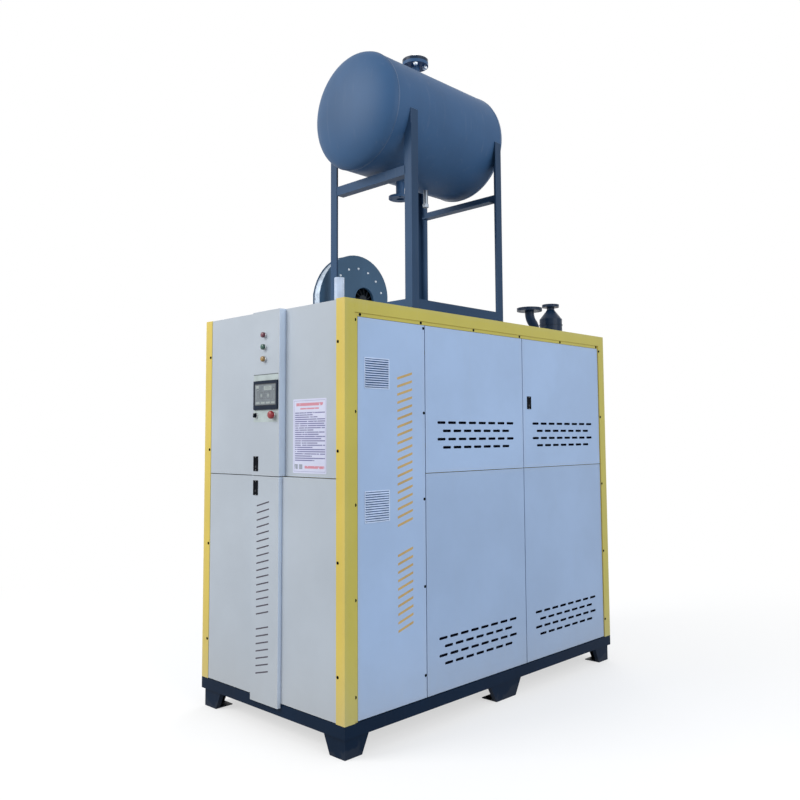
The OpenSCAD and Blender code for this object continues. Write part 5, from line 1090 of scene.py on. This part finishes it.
piece("terminal_box_lid",
      put(slab(0.318, 0.318, 0.0030, 0.010, 0.0008), at(VESSEL_X, 600, VESSEL_Z), TO_FRONT),
      "roof_grey")
lid_screws = [at(x, 597, z) for x in (-945, -655) for z in (1055, 1345)]
piece("terminal_box_screws", put(pan_head(), lid_screws, TO_FRONT), "steel")
z = np.linspace(0, 1, 57)
ribs = np.stack([0.027 + 0.0018 * np.sin(z * tau * 14), z * 0.065], -1)
hose = lathe(np.vstack([[(0, 0)], ribs, [(0, 0.065)]]), 28)
piece("cable_hose", put(hose, at(VESSEL_X, 531.5, VESSEL_Z), TO_REAR), "black_plastic",
      material=seal_rubber)
piece("cable_grommet",
      put(torus(0.0345, 0.0050, 40, 8), at(VESSEL_X, 529, VESSEL_Z), TO_REAR), "black_plastic",
      material=seal_rubber)

# ------------------------------------------------------------------ switchgear

PLATE_X, PLATE_Y = -587.5, 515       # middle and face of the mounting plate
duct_levels = 350 + 387.5 * np.arange(5)
rail_levels = (duct_levels[:-1] + duct_levels[1:]) / 2
RELAYS, CONTACTORS, BREAKERS = 0, (1, 2), 3    # rails, counted from below


def on_plate(shape, places, proud=0.0):
    """Copies of a shape that looks forwards, on the plate or proud of it by millimetres."""
    return put(shape, [at(x, PLATE_Y - proud, z) for x, z in places], TO_FRONT)


duct_places = [(PLATE_X, z) for z in duct_levels]
tooth_places = [(PLATE_X + x, z + side) for z in duct_levels for side in (-19.6, 19.6)
                for x in np.arange(-425, 430, 12.5)]
trunking = moulded("trunking", (0.26, 0.28, 0.30), 0.5)
piece("wiring_ducts",
      joined(on_plate(slab(0.875, 0.038, 0.050, 0.001, 0.0003, 3), duct_places),
             on_plate(slab(0.0078, 0.0016, 0.046, 0.0004, 0.0002, 2), tooth_places)),
      "gear_grey", material=trunking, stands_for=("switchgear",), smooth=30)
piece("duct_lids", on_plate(slab(0.877, 0.0415, 0.0075, 0.002, 0.0006, 3), duct_places, 52),
      "gear_grey", material=trunking, smooth=30)
rail_half = [(-0.0175, 0.0075), (-0.0175, 0.0062), (-0.0125, 0.0062), (-0.0125, 0)]
rail_lips = [(0.0175, 0.0075), (0.0138, 0.0075), (0.0138, 0.0012)]
rail_section = (rail_half + [(-up, out) for up, out in rail_half[::-1]] + rail_lips[1:]
                + [(-up, out) for up, out in rail_lips[:0:-1]])


def along_rail(section, length, places):
    """A device's stepped side outline, up and out, drawn along the rail at each place."""
    return put(prism(section, length), [at(x, PLATE_Y, z) for x, z in places], ALONG_X)


def stepped(*corners):
    """Outline of a device that is alike above and below: its upper corners, mirrored."""
    return [(-up, out) for up, out in corners] + list(corners[::-1])


piece("mounting_rails", along_rail(rail_section, 0.875, [(-1025, z) for z in rail_levels]),
      "steel", smooth=20)
left_edge = -1025 + 87.5
poles = [left_edge + 72 * i + 18 * k for i in range(10) for k in range(3)]
contactors = [(left_edge + 72 * i, rail_levels[row]) for i in range(10) for row in CONTACTORS]
breaker = stepped((0.044, 0.004), (0.044, 0.040), (0.040, 0.044), (0.024, 0.044), (0.022, 0.058))
contactor = stepped((0.044, 0.004), (0.044, 0.046), (0.038, 0.048), (0.030, 0.048),
                    (0.028, 0.062), (0.025, 0.065))
terminal = stepped((0.028, 0.004), (0.028, 0.030), (0.020, 0.040))
actuator = stepped((0.010, 0.064), (0.009, 0.0658))
toggle = [(-0.007, 0.056), (-0.005, 0.0655), (0.000, 0.0660), (0.007, 0.0590), (0.007, 0.056)]
relay = [(-0.040, 0.004), (-0.040, 0.030), (-0.030, 0.034), (-0.028, 0.060), (0.020, 0.060),
         (0.024, 0.034), (0.040, 0.030), (0.040, 0.004)]
piece("breaker_poles", along_rail(breaker, 0.0172, [(x, rail_levels[BREAKERS]) for x in poles]),
      "white_plate", smooth=30)
piece("breaker_toggles",
      along_rail(toggle, 0.0080, [(x + 4.6, rail_levels[BREAKERS]) for x in poles]),
      "black_plastic")
piece("contactor_bodies", along_rail(contactor, 0.0522, [(x + 0.9, z) for x, z in contactors]),
      "gear_grey", smooth=30)
piece("contactor_fronts", along_rail(actuator, 0.016, [(x + 19, z) for x, z in contactors]),
      "white_plate")
piece("relay_bodies",
      along_rail(relay, 0.0300, [(left_edge + 36 * i, rail_levels[RELAYS]) for i in range(10)]),
      "gear_grey", material=moulded("relay_cover", (0.30, 0.33, 0.34), 0.25, coat=0.4), smooth=30)
piece("terminal_row",
      along_rail(terminal, 0.0060,
                 [(left_edge + 380 + 6.6 * i, rail_levels[RELAYS]) for i in range(50)]),
      "gear_grey", material=moulded("terminal_moulding", (0.36, 0.37, 0.36), 0.5), smooth=30)
screw_end = lathe([(0, 0.0004), (0.0008, 0.0004), (0.0010, 0.0012), (0.0026, 0.0012),
                   (0.0030, 0.0006), (0.0030, -0.0010), (0, -0.0010)], 10)
piece("terminal_screws",
      joined(on_plate(screw_end, [(x + 8.6, rail_levels[BREAKERS] + dz) for x in poles
                                  for dz in (-32, 32)], 44),
             on_plate(screw_end, [(x + 8.6, rail_levels[row] + dz) for x in poles
                                  for dz in (-34, 34) for row in CONTACTORS], 48)), "steel")


def wires(x, level, depth, reach, rise, lean, radius=0.0019):
    """Wires from a row of terminals to the ducts above and below: curves that bow out."""
    runs = []
    for way in (1, -1):
        path = bend((0, 0, 0), (lean * 0.3, -0.020, way * rise * 0.45),
                    (lean, 0.004, way * rise), 8)
        starts = [at(place, PLATE_Y - depth, level) + [0, 0, way * reach] for place in x]
        runs.append(put(along(path, circle(radius, 6), up=(1, 0, 0)), starts))
    return joined(*runs)


for k, (name, colour) in enumerate((("black", (0.010, 0.010, 0.012)),
                                    ("red", (0.300, 0.014, 0.012)),
                                    ("blue", (0.020, 0.060, 0.280)))):
    runs = [wires([x + 8.6 for x in poles[k::3]], rail_levels[row], depth, 0.038, 0.136,
                  0.004 * (k - 1)) for row, depth in ((BREAKERS, 42), (2, 46), (1, 46))]
    runs.append(wires([left_edge + 383 + 6.6 * i for i in range(k, 50, 3)], rail_levels[RELAYS],
                      34, 0.024, 0.150, 0.003 * (k - 1), 0.0015))
    piece(f"{name}_wires", joined(*runs), "black_plastic",
          material=moulded(f"{name}_wire_skin", colour, 0.4))
nut_places = [(x, z) for x in (-1037, -138) for z in (290, 1920)]
piece("plate_nuts", on_plate(hexagon_head(0.013, 0.0065, 0.010), nut_places), "steel", smooth=25)

# ----------------------------------------------------- inner sides of the doors

hat = stepped((0.026, 0), (0.026, 0.0012), (0.014, 0.0012), (0.011, 0.0115))


def stiffener(start, end, out):
    """Hat section welded to the inside of a door: the profile carried from start to end."""
    length = float(np.linalg.norm(end - start))
    ahead = (end - start) / length
    return put(prism(hat, length), start, np.stack([np.cross(out, ahead), out, ahead], -1))


door_grey = paint("door_lining_paint", (0.05, 0.055, 0.062), 0.5, dust=0.1)
for body, z0, z1 in (("upper_front", 1300, 2050), ("lower_front", 200, 1210)):
    piece(body + "_stiffeners",
          joined(*[stiffener(at(x, 2.2, z0), at(x, 2.2, z1), (0, 1, 0)) for x in (-1010, -800)]),
          "panel_pale", body + "_door", door_grey, smooth=20)
for body, y0, y1 in (("front_side_door", 600, 1340), ("rear_side_door", 1480, 2170)):
    piece(body + "_stiffeners",
          joined(*[stiffener(at(-8.2, y0, z), at(-8.2, y1, z), (-1, 0, 0)) for z in (1325, 1850)]),
          "panel_blue", body, door_grey, smooth=20)

block = joined(slab(0.030, 0.042, 0.030, 0.002, 0.0006, 3),
               put(slab(0.024, 0.012, 0.004, 0.001, 0.0004, 2),
                   [(0, 0.012, 0.030), (0, -0.012, 0.030)]))
piece("contact_blocks", put(block, np.array(switches) + [0, 0.010, 0], TO_REAR), "gear_grey",
      "upper_front_door", smooth=30)
path = np.vstack([bend(at(-595, 34, 1970), at(-560, 34, 1800), at(-700, 14, 1790), 14),
                  bend(at(-720, 14, 1789), at(-860, 12, 1770), at(-1040, 12, 1790), 18)])
loom = along(path, circle(0.0065, 10), up=(0, 1, 0), scale=1 + 0.05 * np.sin(np.arange(32) * 2.2))
branch = along(bend(at(-515, 34, 1560), at(-700, 20, 1560), at(-760, 12, 1782), 16),
               circle(0.0042, 8), up=(0, 1, 0))
ties = put(torus(0.0072, 0.0012, 18, 6),
           [at(x, 12, z) for x, z in ((-780, 1780), (-880, 1777), (-980, 1783))], TO_SIDE)
piece("door_loom", joined(loom, branch, ties), "black_plastic", "upper_front_door", seal_rubber,
      smooth=60)


def seal(width, height, places, turn):
    """Flat sealing strip on the frame, a copy at each place."""
    return put(slab(width, height, 0.00065, 0.0004, 0.0001, 2), places, turn)


seals = [seal(0.008, (z1 - z0) / 1000, [at(x, 40.4, (z0 + z1) / 2) for x in (-1106, -476)],
              TO_FRONT) for z0, z1 in ((165, 1240), (1268, 2090))]
seals.append(seal(0.600, 0.008, [at(-791, 40.4, z) for z in (1246, 1263, 2090)], TO_FRONT))
seals.append(seal(0.008, 0.700, [at(-26.9, y, 1640) for y in (557, 1380, 1394, 2216)], SIDE_UP))
piece("door_seals", joined(*seals), "black_plastic", material=seal_rubber)

# --------------------------------------------------------- camera, floor, lights

pitch, azimuth, roll = radians(4.515), radians(43.512), radians(-0.400)
ahead = Vector((-sin(azimuth) * cos(pitch), cos(azimuth) * cos(pitch), sin(pitch)))
right = Vector((cos(azimuth), sin(azimuth), 0))
above = right.cross(ahead)
across = right * cos(roll) + above * sin(roll)
upward = above * cos(roll) - right * sin(roll)
camera = bpy.data.cameras.new("camera")
camera.lens, camera.sensor_width = 36.77, 36
camera.shift_x, camera.shift_y = -0.0223, -0.0355
camera.clip_end = 200
viewer = bpy.data.objects.new("camera", camera)
bpy.context.scene.collection.objects.link(viewer)
viewer.matrix_world = Matrix.Translation((3.42805, -3.64523, 1.45054)) @ Matrix(
    (across, upward, -ahead)).transposed().to_4x4()
bpy.context.scene.camera = viewer

# Floor: pale where it is seen or mirrored, darker for the light that it sends back. What
# is seen glows more with distance, so that it meets the white behind it with no edge.
floor_paint = bpy.data.materials.new("pale_floor")
stage = Graph(floor_paint, "OutputMaterial")
pale = stage.node("BsdfDiffuse", inputs={"Color": (0.97, 0.97, 0.97, 1)})
dull = stage.node("BsdfDiffuse", inputs={"Color": (0.35, 0.36, 0.37, 1)})
glow = stage.node("Emission", inputs={"Color": (1, 1, 1, 1)})
reach = stage.node("VectorMath", {"operation": "LENGTH"},
                   {0: stage.node("TexCoord", out="Object")}, out="Value")
share = stage.node("MapRange", inputs={0: reach, 1: 1.8, 2: 5.0, 3: 0.60, 4: 1.0})
shown = stage.node("MixShader", inputs={0: share, 1: pale, 2: glow})
either = stage.node("MixShader", inputs={0: stage.seen(), 1: dull, 2: shown})
stage.feed(stage.end.inputs[0], either)

floor_mesh = bpy.data.meshes.new("floor")
floor_mesh.from_pydata([(-60, -60, 0), (60, -60, 0), (60, 60, 0), (-60, 60, 0)], [],
                       [(0, 1, 2, 3)])
floor_mesh.materials.append(floor_paint)
floor = bpy.data.objects.new("floor", floor_mesh)
bpy.context.scene.collection.objects.link(floor)

# World: white where it is seen or mirrored, a dimmer cool white as light.
world = bpy.data.worlds.new("studio")
bpy.context.scene.world = world
sky = Graph(world, "OutputWorld")
light = sky.node("Background", inputs={0: (0.93, 0.96, 1.0, 1), 1: 0.62})
white = sky.node("Background", inputs={0: (1, 1, 1, 1)})
sky.feed(sky.end.inputs[0], sky.node("MixShader", inputs={0: sky.seen(), 1: light, 2: white}))


def lamp(name, place, aim, size, power, colour=(1, 1, 1)):
    """Soft square lamp that looks at a height above the middle of the floor."""
    data = bpy.data.lights.new(name, "AREA")
    data.shape, data.size, data.energy, data.color = "SQUARE", size, power, colour
    made = bpy.data.objects.new(name, data)
    bpy.context.scene.collection.objects.link(made)
    made.location = place
    made.rotation_euler = (Vector((0, 0, aim)) - Vector(place)).to_track_quat("-Z", "Y").to_euler()


lamp("key_light", (-3.5, -8.0, 6.5), 1.4, 5.0, 600, (1.0, 0.985, 0.96))
lamp("side_fill", (8.0, -0.5, 4.5), 1.4, 6.0, 290, (0.93, 0.96, 1.0))
lamp("rear_fill", (-4.0, 7.5, 5.5), 1.6, 6.0, 260)

bpy.context.scene.view_settings.view_transform = "Standard"
